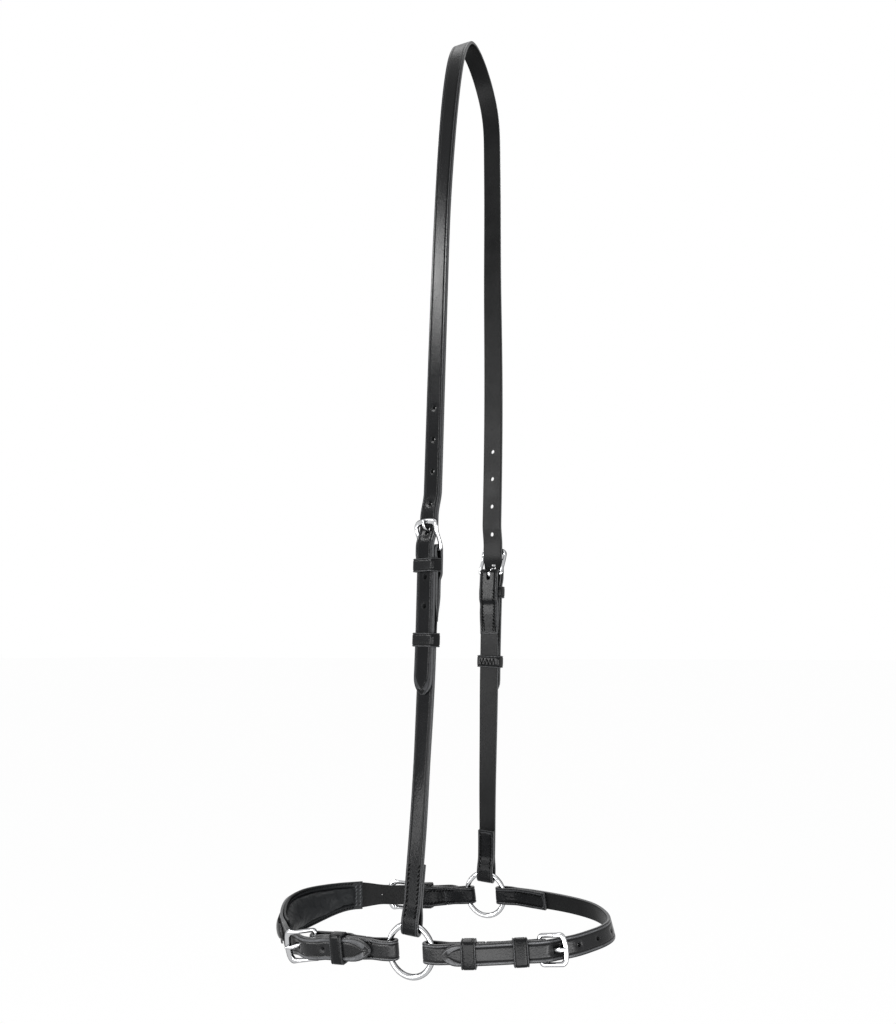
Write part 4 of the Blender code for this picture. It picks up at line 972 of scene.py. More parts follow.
def buckleOutline(length, half, frontWidth):
    # middle line of the frame: (along, across) from the heel bar round the front bar and back
    heelCorner, frontCorner = buckleSize["heelCorner"], buckleSize["frontCorner"] * frontWidth
    path = [(0.0, -half * share) for share in (0.0, 0.25, 0.5, 0.68)]
    for index in range(7):
        turn = math.pi / 2 * index / 6
        path.append((heelCorner * (1 - math.cos(turn)), -half + heelCorner * (1 - math.sin(turn))))
    path += [(length * share, -half) for share in (0.22, 0.35, 0.48, 0.6, 0.7)]
    for index in range(19):
        share = -math.cos(math.pi / 2 * index / 18)
        bow = buckleSize["frontBow"] * (1 - share * share)
        inCorner = max(0.0, (abs(share) * half - half + frontCorner) / frontCorner)
        pull = frontCorner * (1 - math.sqrt(max(0.0, 1 - inCorner ** 2)))
        path.append((length + bow - pull, half * share))
    return path + [(u, -v) for u, v in reversed(path) if v < -0.01 * mm]


# section of the broad front bar: flat, then falling away beyond a crisp ridge, as (outward, up)
ridgeBar = [(1.0, -0.30), (1.0, 0.02), (0.94, 0.26), (0.62, 0.72), (0.40, 0.96), (0.24, 1.0), (-0.25, 1.0),
            (-0.72, 0.98), (-0.92, 0.84), (-1.0, 0.45), (-1.0, -0.45), (-0.88, -0.88), (-0.45, -1.0),
            (0.0, -1.0), (0.55, -0.98), (0.90, -0.78)]


def buckleFrame(name, route, look, side, body, node):
    length = look["buckle"]
    path = buckleOutline(length, look["frame"] / 2 + buckleSize["clearance"] + barRadius, look["frontBar"])
    at = seat(route, look["tab"][side])
    rings, marks = [], []
    for index, (u, v) in enumerate(path):
        along = direction(path, index, closed=True)
        outward = np.array([-along[1], along[0]])
        if outward[0] * (u - length / 2) + outward[1] * v < 0:
            outward = -outward
        broad = smooth(u, *[length * share for share in buckleSize["broad"]])
        halfWide = barRadius + (look["frontBar"] / 2 - barRadius) * broad
        halfThick = barRadius + (frontHalf - barRadius) * broad
        height = frontBar * smooth(u, 0.0, length * buckleSize["risen"])
        ring, mark = [], []
        for flatWide, flatHigh in ridgeBar:
            roll = math.atan2(flatHigh, flatWide)
            wide = math.cos(roll) + (flatWide - math.cos(roll)) * broad
            high = math.sin(roll) + (flatHigh - math.sin(roll)) * broad
            ring.append(at(u + outward[0] * halfWide * wide, v + outward[1] * halfWide * wide,
                           height + halfThick * high))
            # 1 on the bar's sides, which are painted darker as shade
            mark.append((0.0, wide ** 2))
        rings.append(ring)
        marks.append(mark)
    made = skin(name, rings, marks, buckleSteel, closed=True, angle=32.0)
    return dress(made, body, "steel", node)


tongueLook = {
    "eyeStart": -60, "eyeTurn": -272, "eyeSteps": 24,    # degrees round the heel bar
    "leaves": 1.2 * mm,          # height of the arm where it leaves the eye
    "lies": 2.1 * mm,            # and under the billet, at most
    "room": 0.35 * mm,           # left for it to lift under the billet
    "early": 2.6 * mm,           # from the heel bar to where an early arm climbs
    "late": 1.2 * mm,            # from the end of a late arm's climb to the front bar
    "armFrom": 3.0 * mm, "armStep": 0.8 * mm,
    "onBar": 0.6 * mm,           # the arm is level from this far before the front bar
    "beyond": 0.3 * mm,          # tip past the bow of the front bar
    "tipLong": 5.0 * mm, "tipWide": 0.62, "endWide": 0.72, "endThick": 0.7,
    "lying": (2.0 * mm, 5.0 * mm), "roomy": (3.0 * mm, 7.0 * mm),      # from the heel bar
    "square": 0.62, "sides": 16,                 # 1 is a round bar, less is a squarer one
}


def armHeight(look, side, start, u):
    # under the billet at first, then from start up through its hole to the top of the front bar
    heel, at = look["tab"][side], min(u, start)
    under = billetHeight(heel, heel + look["buckle"], heel + at) - leather / 2 - gap
    under -= buckleSize["tongueThick"] / 2 + tongueLook["room"] * smooth(at, *tongueLook["roomy"])
    lies = min(tongueLook["lies"], under)
    low = tongueLook["leaves"] + (lies - tongueLook["leaves"]) * smooth(at, *tongueLook["lying"])
    return low + (tongueTop - low) * smooth(u, start, start + buckleSize["rise"])


def climbStart(look, side):
    # the far side's holes are drawn towards the heel bar, so its tongues climb early
    return tongueLook["early"] if side == "far" else look["buckle"] - buckleSize["rise"] - tongueLook["late"]


def usedHole(look, side):
    # where the tongue's arm crosses the middle of the billet
    heel, start = look["tab"][side], climbStart(look, side)
    for u in spread(start, look["buckle"], 0.2 * mm):
        if armHeight(look, side, start, u) > billetHeight(heel, heel + look["buckle"], heel + u):
            return heel + u
    return heel + look["buckle"] / 2


def tongue(name, route, look, side, node):
    # an open eye round the heel bar, and an arm that narrows to a rounded tip on the front bar
    length, wide, thick = look["buckle"], buckleSize["tongueWidth"], buckleSize["tongueThick"]
    eye = barRadius + buckleSize["eyeClearance"] + thick / 2
    start = climbStart(look, side)
    path = []
    for index in range(tongueLook["eyeSteps"] + 1):
        turn = math.radians(tongueLook["eyeStart"] + tongueLook["eyeTurn"] * index / tongueLook["eyeSteps"])
        path.append((eye * math.cos(turn), eye * math.sin(turn)))
    for u in spread(tongueLook["armFrom"], length - tongueLook["late"], tongueLook["armStep"]):
        path.append((u, armHeight(look, side, start, u)))
    level, tip = length - tongueLook["onBar"], length + buckleSize["frontBow"] + tongueLook["beyond"]
    path += [(level + (tip - level) * index / 5, tongueTop) for index in range(6)]
    at = seat(route, look["tab"][side])
    rings, marks = [], []
    for index, (u, h) in enumerate(path):
        along = direction(path, index)
        onArm, atEnd = index > tongueLook["eyeSteps"], index in (0, len(path) - 1)
        full = smooth(tip - u, 0.0, tongueLook["tipLong"]) if onArm else 1.0
        halfWide = wide / 2 * (tongueLook["tipWide"] + (1 - tongueLook["tipWide"]) * full)
        halfWide *= tongueLook["endWide"] if atEnd else 1.0
        halfThick = thick / 2 * (tongueLook["endThick"] if atEnd else 1.0)
        ring, mark = [], []
        for roll in turns(tongueLook["sides"]):
            aside = halfWide * math.copysign(abs(math.cos(roll)) ** tongueLook["square"], math.cos(roll))
            high = halfThick * math.copysign(abs(math.sin(roll)) ** tongueLook["square"], math.sin(roll))
            ring.append(at(u - along[1] * high, aside, h + along[0] * high))
            # 1 on the tongue's sides, which are painted darker as shade
            mark.append((0.0, math.cos(roll) ** 2))
        rings.append(ring)
        marks.append(mark)
    made = skin(name, rings, marks, tongueSteel, angle=50.0)
    return dress(made, node, "steel", node)


# Keepers

# mm in from the edge and share of the thickness; the crease in millimetres, and its depth across it
keeperCut = {"edge": [(0.0, 0.35), (0.12, 0.75), (0.42, 1.0)], "creaseInset": 1.15, "creaseHalf": 0.38,
             "creaseDepth": 0.32, "crease": ((-1.0, 0.0), (-0.4, 0.7), (0.0, 1.0), (0.4, 0.7), (1.0, 0.0)),
             "crown": 0.03 * mm, "crownAt": 0.35, "innerEdge": 0.15 * mm, "bulge": 0.06 * mm}


def keeperSection():
    # (along the strap, outward, mm from the edge, 1 outside) round a keeper's band
    wide, thick = keeperSize["wide"] / 2, keeperSize["thick"] / 2
    side = []
    for away, share in keeperCut["edge"]:
        side.append((wide - away * mm, thick * (2 * share - 1), away))
    for shift, share in keeperCut["crease"]:
        away = keeperCut["creaseInset"] + shift * keeperCut["creaseHalf"]
        side.append((wide - away * mm, thick - keeperCut["creaseDepth"] * mm * share, away))
    crownAt = keeperCut["crownAt"]
    side.append((wide * crownAt, thick + keeperCut["crown"], wide * (1 - crownAt) / mm))
    section = [(u, h, e, 1.0) for u, h, e in side] + [(-u, h, e, 1.0) for u, h, e in reversed(side)]
    inner = wide - keeperCut["innerEdge"]
    section += [(-inner, -thick, 0.1, 0.0), (0.0, -thick, 4.0, 0.0), (inner, -thick, 0.1, 0.0)]
    return np.array(section)


def keeper(name, route, s, strapWidth, low, high, body, node, sewn):
    # a leather band round the layers between the heights low and high; a sewn one has its ends apart
    thick = keeperSize["thick"]
    half = strapWidth / 2 + keeperSize["side"] + thick / 2
    bottom, top = low - gap - thick / 2, high + gap + thick / 2
    corner = keeperSize["corner"]

    def arc(centreV, centreH, first):
        return [(centreV + corner * math.cos(math.radians(first + 90 * step / 6)),
                 centreH + corner * math.sin(math.radians(first + 90 * step / 6))) for step in range(7)]
    reach = half - corner
    right = [(cut["join"] / 2 if sewn else 0.0, bottom), (reach * 0.35, bottom), (reach * 0.7, bottom)]
    right += arc(reach, bottom + corner, -90) + [(half + keeperCut["bulge"], (bottom + top) / 2)]
    right += arc(reach, top - corner, 0)
    right += [(reach * 0.7, top + gap * 0.4), (reach * 0.35, top + gap * 0.5), (0.0, top + gap * 0.5)]
    path = right + [(-v, h) for v, h in reversed(right) if v > 0]
    section = keeperSection()
    at = seat(route, s)
    rings, marks = [], []
    for index, (v, h) in enumerate(path):
        along = direction(path, index, closed=not sewn)
        rings.append([at(u, v + along[1] * out, h - along[0] * out) for u, out, _, _ in section])
        marks.append(section[:, 2:4])
    made = skin(name, rings, marks, keeperLeather, closed=not sewn, angle=50.0)
    return dress(made, body, "leather", node)


# the butt join of a running keeper is sewn over with a zigzag
zigzag = {"count": 9, "reach": 2.7 * mm, "edge": 1.4 * mm, "radius": 0.36 * mm, "proud": 0.16 * mm,
          "sunk": 0.27 * mm, "rise": ((0.0, -1.0), (0.15, 0.3), (0.5, 1.0), (0.85, 0.3), (1.0, -1.0))}


def runningKeeper(name, route, s, strapWidth, low, node):
    keeper(name, route, s, strapWidth, low, billetOver + leather / 2, node, node, sewn=False)
    face, half = low - gap - keeperSize["thick"], strapWidth / 2 - zigzag["edge"]
    tubes = []
    for index in range(zigzag["count"]):
        first = -half + 2 * half * index / zigzag["count"]
        second = -half + 2 * half * (index + 1) / zigzag["count"]
        reach = zigzag["reach"] if index % 2 else -zigzag["reach"]
        tube = []
        for share, rise in zigzag["rise"]:
            lift = (zigzag["proud"] if rise > 0 else zigzag["sunk"]) * rise
            tube.append((s + reach * (1 - 2 * share), first + (second - first) * share, face - lift,
                         zigzag["radius"]))
        tubes.append(tube)
    threads(name + "Join", [(route, tubes, False)], node)


def fittings(name, route, look, side, body, node):
    # what a folded tab carries: its buckle, the tongue and the fixed keeper
    buckleFrame(name + "Buckle", route, look, side, body, node + "_buckle")
    tongue(name + "Tongue", route, look, side, node + "_tongue")
    heel, at = look["tab"][side], keeperPlace(look, side)
    high = billetHeight(heel, heel + look["buckle"], at + keeperSize["wide"] / 2) + leather / 2
    keeper(name + "Keeper", route, at, look["width"], layerHalf - leather / 2, high, body, node + "_keeper",
           sewn=True)


# Straps

def keeperPlace(look, side):
    return look["tab"][side] - look["keeper"][side]


# where the stations of a billet change their spacing, and how far they lie close beside a hole
stationAt = {"pastTip": 1.0 * mm, "beforeHeel": 11.0 * mm, "pastFront": (5.0 * mm, 6.0 * mm),
             "pastSettled": (1.0 * mm, 4.0 * mm), "besideHole": 2.2 * mm}


def billetPath(look, heel, end, step, holes, resting=0.0):
    # from the tip, past the holes and through the buckle, to end
    tipAt, front = heel - look["billet"], heel + look["buckle"]
    closeTo, closeFrom = [front + beyond for beyond in stationAt["pastFront"]]
    wideTo, wideFrom = [front + buckleSize["settle"] + beyond for beyond in stationAt["pastSettled"]]
    stations = [tipAt + look["tip"] * share for share in fine["tip"]]
    for first, last, spacing in (
            (stations[-1] + stationAt["pastTip"], heel - stationAt["beforeHeel"], fine["curved"]),
            (heel - buckleSize["climb"], closeTo, fine["billet"]),
            (closeFrom, wideTo, fine["settling"]), (wideFrom, end, step)):
        stations += spread(first, last, spacing)
    for at, long, _ in holes:
        reach = long / 2 + stationAt["besideHole"]
        stations += spread(at - reach, at + reach, fine["hole"])
    spaced = []
    for s in sorted(s for s in stations if s <= end + 1e-9):
        if not spaced or s < tipAt + look["tip"] or s - spaced[-1] > fine["hole"] * 0.8:
            spaced.append(s)
    return [(s, billetHeight(heel, front, s, resting)) for s in spaced]


def billetHoles(look, side, places):
    # the hole in use, drawn long by the tongue, and the free ones, as (s, length, width)
    used = (usedHole(look, side), holeSize["usedLong"], holeSize["usedWide"])
    return [used] + [(s, look["bore"], look["bore"]) for s in places]


def twinBillets(name, route, look, sides, body, finish=None):
    # one strap with a billet at each end; sides maps near and far to (holes, path) from that end
    path = sides["near"][1] + mirrored(sides["far"][1], route)
    holes, cutters = [], []
    for side, (marks, _) in sides.items():
        heel = look["tab"][side]
        for at, long, wide in marks:
            s = at if side == "near" else route.length - at
            holes.append((s, long, wide))
            cutter = hole(s, billetHeight(heel, heel + look["buckle"], at), long, wide)
            cutters.append((look["flesh"][side], cutter))
    nearTip, farTip = [look["tab"][side] - look["billet"] for side in ("near", "far")]

    def width(s):
        fromTip = min(s - nearTip, route.length - s - farTip)
        return pointed(body(min(s, route.length - s)), look["tip"], fromTip)
    crease = toPoint(look["crease"], [(nearTip, 1), (route.length - farTip, -1)], look["cusp"], look["tip"])
    made = strap(name, route, path, width, finish, crease, holes)
    for flesh in sorted(set(look["flesh"].values())):
        punch(made, route, [cutter for share, cutter in cutters if share == flesh], flesh)
    return made


def ringFold(turnback, step):
    centre = ringFoldCentre()
    path = run(turnback, layersClosed, -layerHalf, step)
    path += run(layersClosed - 0.5 * mm, centre, lambda s: -besideRing(s), fine["layer"])
    path += fold(centre, ringLayer, -1, 1)
    path += run(centre, layersClosed, besideRing, fine["layer"])
    return path


def foldedStrap(name, route, look, side, ringEnd, heelEnd, widths, step, body, node, finish, skive=0.0):
    # folded round the ring and round the heel bar; its ends lie inside at ringEnd and heelEnd
    heel, keeperAt = look["tab"][side], keeperPlace(look, side)
    path = ringFold(ringEnd, step)
    path += run(layersClosed + 0.5 * mm, heel - cut["heelPart"] - 1 * mm, layerHalf, step)
    path += run(heel - cut["heelPart"], heel, lambda s: besideHeel(heel, s), fine["layer"])
    path += [(s, -n) for s, n in fold(heel, heelLayer, 1, 1)]
    closed = max(heelEnd, keeperAt - keeperHalf - cut["keeperPart"])
    path += run(heel, closed, lambda s: -innerHeel(heel, keeperAt, s), fine["layer"])
    if closed > heelEnd:
        path += run(closed - 1 * mm, heelEnd, -layerHalf, step)
    if skive:
        path = path[:-1] + run(path[-2][0] - 0.4 * mm, heelEnd, -layerHalf, fine["pared"])
    made = strap(name, route, path, widths, finish, skive=skive, worn=None if skive else wornLeather)
    middle = heel + (holeSize["slotBeyond"] - holeSize["slotBefore"]) / 2
    long, deep = holeSize["slotBefore"] + holeSize["slotBeyond"], 2 * heelLayer + leather
    wide = buckleSize["tongueWidth"] + 2 * holeSize["slotSide"]
    punch(made, route, [(middle, long, wide, -deep, deep)], 1.0, 1.0)
    return dress(made, body, "leather", node)


def ringFace(s, outward):
    # outer face of the layers next to a ring, on either side
    return outward * (besideRing(s) + leather / 2)


def tabFace(look, side):
    # the same all along a tab that is folded round a ring and a heel bar
    heel, keeperAt = look["tab"][side], keeperPlace(look, side)

    def face(s, outward):
        if s < layersClosed:
            return ringFace(s, outward)
        if outward > 0:
            return besideHeel(heel, s) + leather / 2
        return -innerHeel(heel, keeperAt, s) - leather / 2
    return face


headLook = {
    "width": 16.0 * mm, "crown": 14.0 * mm, "cheek": 15.2 * mm,
    # length of a billet from tip to heel bar, of its point, the crease's inset and its own point
    "billet": 92.0 * mm, "tip": 11.0 * mm, "crease": 2.2 * mm, "cusp": 3.2 * mm,
    # free holes: spacing, how many above the one in use, width, and the share of it on the flesh side
    "pitch": 22.0 * mm, "above": 4, "bore": 3.2 * mm, "flesh": {"near": 0.58, "far": 1.0},
    "buckle": 17.5 * mm, "frame": 15.0 * mm, "frontBar": 3.8 * mm,
    "tab": {"near": 243.0 * mm, "far": 237.0 * mm},      # from the ring's centre to the heel bar
    "keeper": {"near": 10.0 * mm, "far": 14.0 * mm},     # from the heel bar
    "loop": {"near": 58.0 * mm, "far": 67.0 * mm},
    "ringEnd": {"near": cut["ringEnd"], "far": cut["ringEnd"] + 1.1 * mm},
    "ringTurnback": {"near": 49.0 * mm, "far": 45.5 * mm},
    "buckleTurnback": 46.0 * mm, "skive": 16.0 * mm, "cheekTaper": 25.0 * mm,
    # stitch rows at the ring, from its rim to past the turned-back end on each face, and at the buckle
    "ringRowFrom": 2.5 * mm, "ringRowPast": {1.0: 0.5 * mm, -1.0: -1.5 * mm}, "ringInset": 2.2 * mm,
    "ringRowWide": 34.0 * mm,    # the rows keep their distance here, and run straight
    "rowFrom": 1.5 * mm, "rowToHeel": 12.0 * mm, "stitchInset": 2.8 * mm,
    # back from the middle of the crown
    "narrowing": (300.0 * mm, 30.0 * mm), "curve": 83.0 * mm, "arch": 22.0 * mm, "flat": 4.0 * mm,
}


def crownAt(route):
    top = int(np.argmax(route.line[:, 2]))
    around = slice(top - 3, top + 4)
    return float(np.interp(0.0, -route.tangents[around, 2], route.lengthAt[around]))


def headpiece(route):
    sides = {}
    for side, way in (("near", route), ("far", route.turned())):
        heel, pitch = headLook["tab"][side], headLook["pitch"]
        used = heel + holeSize["usedAt"]
        behindKeeper = keeperPlace(headLook, side) - keeperSize["wide"] / 2 - headLook["bore"]
        places = [used + holeSize["pull"] + pitch * index for index in range(1, headLook["above"] + 1)]
        places += [used - 2 * pitch, min(used - pitch, behindKeeper)]
        holes = billetHoles(headLook, side, places)
        top = crownAt(way)
        curve = top - headLook["curve"]
        path = billetPath(headLook, heel, curve - 7 * mm, fine["straight"], holes)
        path += run(curve, top - headLook["arch"] - 3 * mm, 0.0, fine["curved"])
        path += run(top - headLook["arch"], top - headLook["flat"] / 2, 0.0, fine["crown"])
        sides[side] = (holes, path)
    wide, narrow = [route.length / 2 - back for back in headLook["narrowing"]]
    body = taper([(wide, headLook["width"]), (narrow, headLook["crown"])])
    made = twinBillets("headpieceStrap", route, headLook, sides, body)
    return dress(made, "head", "leather", "headpiece")


def headSide(side, way):
    name, node, heel = side + "Cheek", side + "_cheek", headLook["tab"][side]
    turnback, ringTurnback = heel - headLook["buckleTurnback"], headLook["ringTurnback"][side]
    widths = taper([(ringOuter, headLook["ringEnd"][side]),
                    (turnback - headLook["cheekTaper"], headLook["cheek"])])
    ringPiece(side)
    foldedStrap(name + "Strap", way, headLook, side, ringTurnback, turnback, widths, fine["straight"], "head",
                node, headLeather, headLook["skive"])
    fittings(name, way, headLook, side, "head", node)
    runningKeeper(name + "Loop", way, heel - headLook["loop"][side], headLook["width"],
                  layerHalf - leather / 2, node + "_loop")
    rows = bothFaces(way, ringOuter + headLook["ringRowFrom"],
                     lambda outward: ringTurnback + headLook["ringRowPast"][outward],
                     widths(headLook["ringRowWide"]) / 2 - headLook["ringInset"], ringFace)
    rows += bothFaces(way, turnback + headLook["rowFrom"], heel - headLook["rowToHeel"],
                      headLook["cheek"] / 2 - headLook["stitchInset"], tabFace(headLook, side))
    threads(name + "Stitches", rows, "head")


noseLook = {
    "width": 14.0 * mm, "billetWidth": 13.6 * mm, "sideWidth": 18.0 * mm, "middleWidth": 25.5 * mm,
    "widening": (22.0 * mm, 8.0 * mm),                   # before the pad's end, and before the middle
    "billet": 42.0 * mm, "tip": 13.5 * mm, "crease": 2.7 * mm, "cusp": 3.6 * mm,
    "pitch": 16.0 * mm, "bore": 2.3 * mm, "flesh": {"near": 0.10, "far": 0.10},
    "buckle": 19.0 * mm, "frame": 14.0 * mm, "frontBar": 4.8 * mm,
    "tab": {"near": 68.0 * mm, "far": 60.0 * mm},
    "keeper": {"near": 19.0 * mm, "far": 10.5 * mm},
    "turnback": 31.0 * mm, "tabTaper": 33.6 * mm,
    "rowFrom": 8.0 * mm, "rowToHeel": 11.0 * mm, "stitchInset": 3.1 * mm,
}
padCut = {
    "beyond": 17.0 * mm,         # from the longer tab's front bar to the pad
    "farMore": 4.0 * mm,         # it reaches further on the far side
    "endWidth": 19.5 * mm, "width": 27.5 * mm, "depth": 7.0 * mm, "gap": 0.4 * mm,
    "flange": 4.2 * mm, "flangeThick": 1.6 * mm, "channel": 0.85 * mm, "endFlat": 6.0 * mm,
    "pucker": 0.34 * mm, "puckerReach": 2.6 * mm,
    "across": 16, "step": 1.1 * mm, "endAt": (0.0, 0.25 * mm, 0.9 * mm, 1.8 * mm), "middleAt": 0.8 * mm,
    "endRound": 0.3 * mm, "endThin": 0.55, "endBow": 7, "crownBow": 2.6, "crownFull": 2.2,
    "freeFrom": 4.5,             # marks from here on are the cushion's skin, not sewn down
    "rowInset": 1.5 * mm, "rowEnd": 7.0 * mm,
    "endRows": (1.6 * mm, 5.0 * mm), "endRowInset": 2.2 * mm,
}
# share of a fold, its pace per millimetre, how the two sides differ, and how far and fast the pace wanders
puckerWaves = ((0.5, 1.02, 1.3, 1.7, 0.11), (0.3, 1.63, 2.1, 1.1, 0.19), (0.2, 0.47, -0.8, 0.0, 0.0))
padCloth = {"quality": 6, "mass": 0.15, "stiffness": 12.0, "bending": 0.25, "slack": 0.02, "pressure": 4.0,
            "frames": 20, "cap": 1.6 * mm}
overlayCut = {
    "beyond": 8.0 * mm, "width": 15.0 * mm, "depth": 3.6 * mm, "step": 2.0 * mm,
    "edge": 0.9 * mm, "flange": 1.7 * mm, "groove": 0.12 * mm, "bow": 0.8, "endShare": 0.35,
    "rowInset": 0.95 * mm, "rowShare": 0.9, "endBow": 6,
    "endAt": (1.0, 0.995, 0.985, 0.97, 0.95, 0.92, 0.89, 0.85, 0.80), "bodyAt": 0.77,
}
padEnd = max(noseLook["tab"].values()) + noseLook["buckle"] + padCut["beyond"]
padFace = -leather / 2 - padCut["gap"]


def noseSide(side, way):
    name, node, heel = side + "Nose", side + "_nose", noseLook["tab"][side]
    widths = taper([(ringOuter, cut["ringEnd"]), (ringOuter + noseLook["tabTaper"], noseLook["width"])])
    foldedStrap(name + "Tab", way, noseLook, side, noseLook["turnback"] - cut["join"] / 2,
                noseLook["turnback"] + cut["join"] / 2, widths, fine["curved"], "nose", node + "_tab",
                loopLeather)
    fittings(name, way, noseLook, side, "nose", node)
    rows = bothFaces(way, ringOuter + noseLook["rowFrom"], heel - noseLook["rowToHeel"],
                     noseLook["width"] / 2 - noseLook["stitchInset"], tabFace(noseLook, side))
    threads(name + "TabStitches", rows, "nose")


def noseStrap(route):
    middle, sides = route.length / 2, {}
    for side in ("near", "far"):
        heel = noseLook["tab"][side]
        used = heel + holeSize["usedAt"]
        holes = billetHoles(noseLook, side, (used - noseLook["pitch"],
                                             used + noseLook["pitch"] + holeSize["pull"]))
        sides[side] = (holes, billetPath(noseLook, heel, middle - 1 * mm, fine["curved"], holes))
    beforePad, beforeMiddle = noseLook["widening"]
    body = taper([(padEnd - beforePad, noseLook["billetWidth"]), (padEnd, noseLook["sideWidth"]),
                  (middle - beforeMiddle, noseLook["middleWidth"])])
    made = twinBillets("noseStrapLeather", route, noseLook, sides, body, loopLeather)
    return dress(made, "nose", "leather", "nose_strap")


def overlay(route):
    # raised strip: a thin sewn flange and a rounded back over a cord of filling
    middle = route.length / 2
    reach = middle - padEnd - overlayCut["beyond"]
    base, lip = leather / 2 + padCut["gap"], overlayCut["edge"]
    stations = [reach * share for share in overlayCut["endAt"]]
    stations += spread(reach * overlayCut["bodyAt"], 1.0 * mm, overlayCut["step"])
    rings, marks = [], []
    for away in stations + [-s for s in reversed(stations)]:
        full = math.sqrt(max(0.0, 1 - (abs(away) / reach) ** overlayCut["endBow"]))
        wide = overlayCut["width"] / 2 * (overlayCut["endShare"] + (1 - overlayCut["endShare"]) * full)
        raised = (overlayCut["depth"] - lip) * full
        dome = wide - min(overlayCut["flange"], wide * 0.3)
        groove = lip - overlayCut["groove"]
        side = [(wide, 0.0, 0.0), (wide, lip * 0.55, 0.0), (wide - 0.2 * mm, lip * 0.9, 0.2),
                (wide - 0.5 * mm, lip, 0.5), (dome + 0.35 * mm, groove, 1.4)]
        for step in range(8):
            turn = math.pi / 2 * step / 8
            rise = (raised + overlayCut["groove"]) * math.sin(turn) ** overlayCut["bow"]
            side.append((dome * math.cos(turn), groove + rise, 2.0 + step))
        section = side + [(0.0, lip + raised, 10.0)] + [(-b, h, e) for b, h, e in reversed(side)]
        rings.append(route.points(np.full(len(section), middle - away), [base + h for _, h, _ in section],
                                  [b for b, _, _ in section]))
        marks.append([(e, 1.0) for _, _, e in section])
    dress(skin("noseOverlay", rings, marks, overlayLeather, angle=60.0), "nose", "leather", "nose_overlay")
    edge = overlayCut["width"] / 2 - overlayCut["rowInset"]
    sewn = reach * overlayCut["rowShare"]
    rows = [stitchRow(route, middle - sewn, middle + sewn, hand * edge, lambda s: base + lip)
            for hand in (-1, 1)]
    threads("overlayStitches", rows, "nose")


def padWidth(route, s):
    away = abs(s - route.length / 2) / (route.length / 2 - padEnd)
    return padCut["width"] + (padCut["endWidth"] - padCut["width"]) * smooth(away, 0.1, 1.0)


def swell(made, sewn):
    # the cushion's skin is blown up as cloth between its sewn edges, and no point goes beyond the cap
    scene = bpy.context.scene
    start = np.empty(len(made.data.vertices) * 3)
    made.data.vertices.foreach_get("co", start)
    made.vertex_groups.new(name="sewn").add([int(index) for index in sewn], 1.0, "REPLACE")
    cloth = made.modifiers.new("swell", "CLOTH")
    cloth.settings.quality = padCloth["quality"]
    cloth.settings.mass = padCloth["mass"]
    for kind in ("tension", "compression", "shear"):
        setattr(cloth.settings, kind + "_stiffness", padCloth["stiffness"])
    cloth.settings.bending_stiffness = padCloth["bending"]
    cloth.settings.shrink_min = -padCloth["slack"]
    cloth.settings.vertex_group_mass = "sewn"
    cloth.settings.use_pressure = True
    cloth.settings.uniform_pressure_force = padCloth["pressure"]
    cloth.settings.effector_weights.gravity = 0.0
    for step in range(1, padCloth["frames"] + 1):
        scene.frame_set(step)
    blown = made.evaluated_get(bpy.context.evaluated_depsgraph_get()).to_mesh()
    end = np.empty_like(start)
    blown.vertices.foreach_get("co", end)
    made.modifiers.remove(cloth)
    scene.frame_set(1)
    moved = (end - start).reshape(-1, 3)
    far = np.linalg.norm(moved, axis=1, keepdims=True)
    moved *= np.minimum(1.0, padCloth["cap"] / np.maximum(far, 1e-9))
    print("pad swelled by up to %.2f mm" % (far.max() / mm))
    made.data.vertices.foreach_set("co", (start.reshape(-1, 3) + moved).ravel())
    made.data.update()


def pucker(s, hand):
    # uneven small folds that the sewing draws into the leather, from -1 to 1
    at = s / mm
    return sum(share * math.sin(at * pace + hand * shift + far * math.sin(at * slow))
               for share, pace, shift, far, slow in puckerWaves)


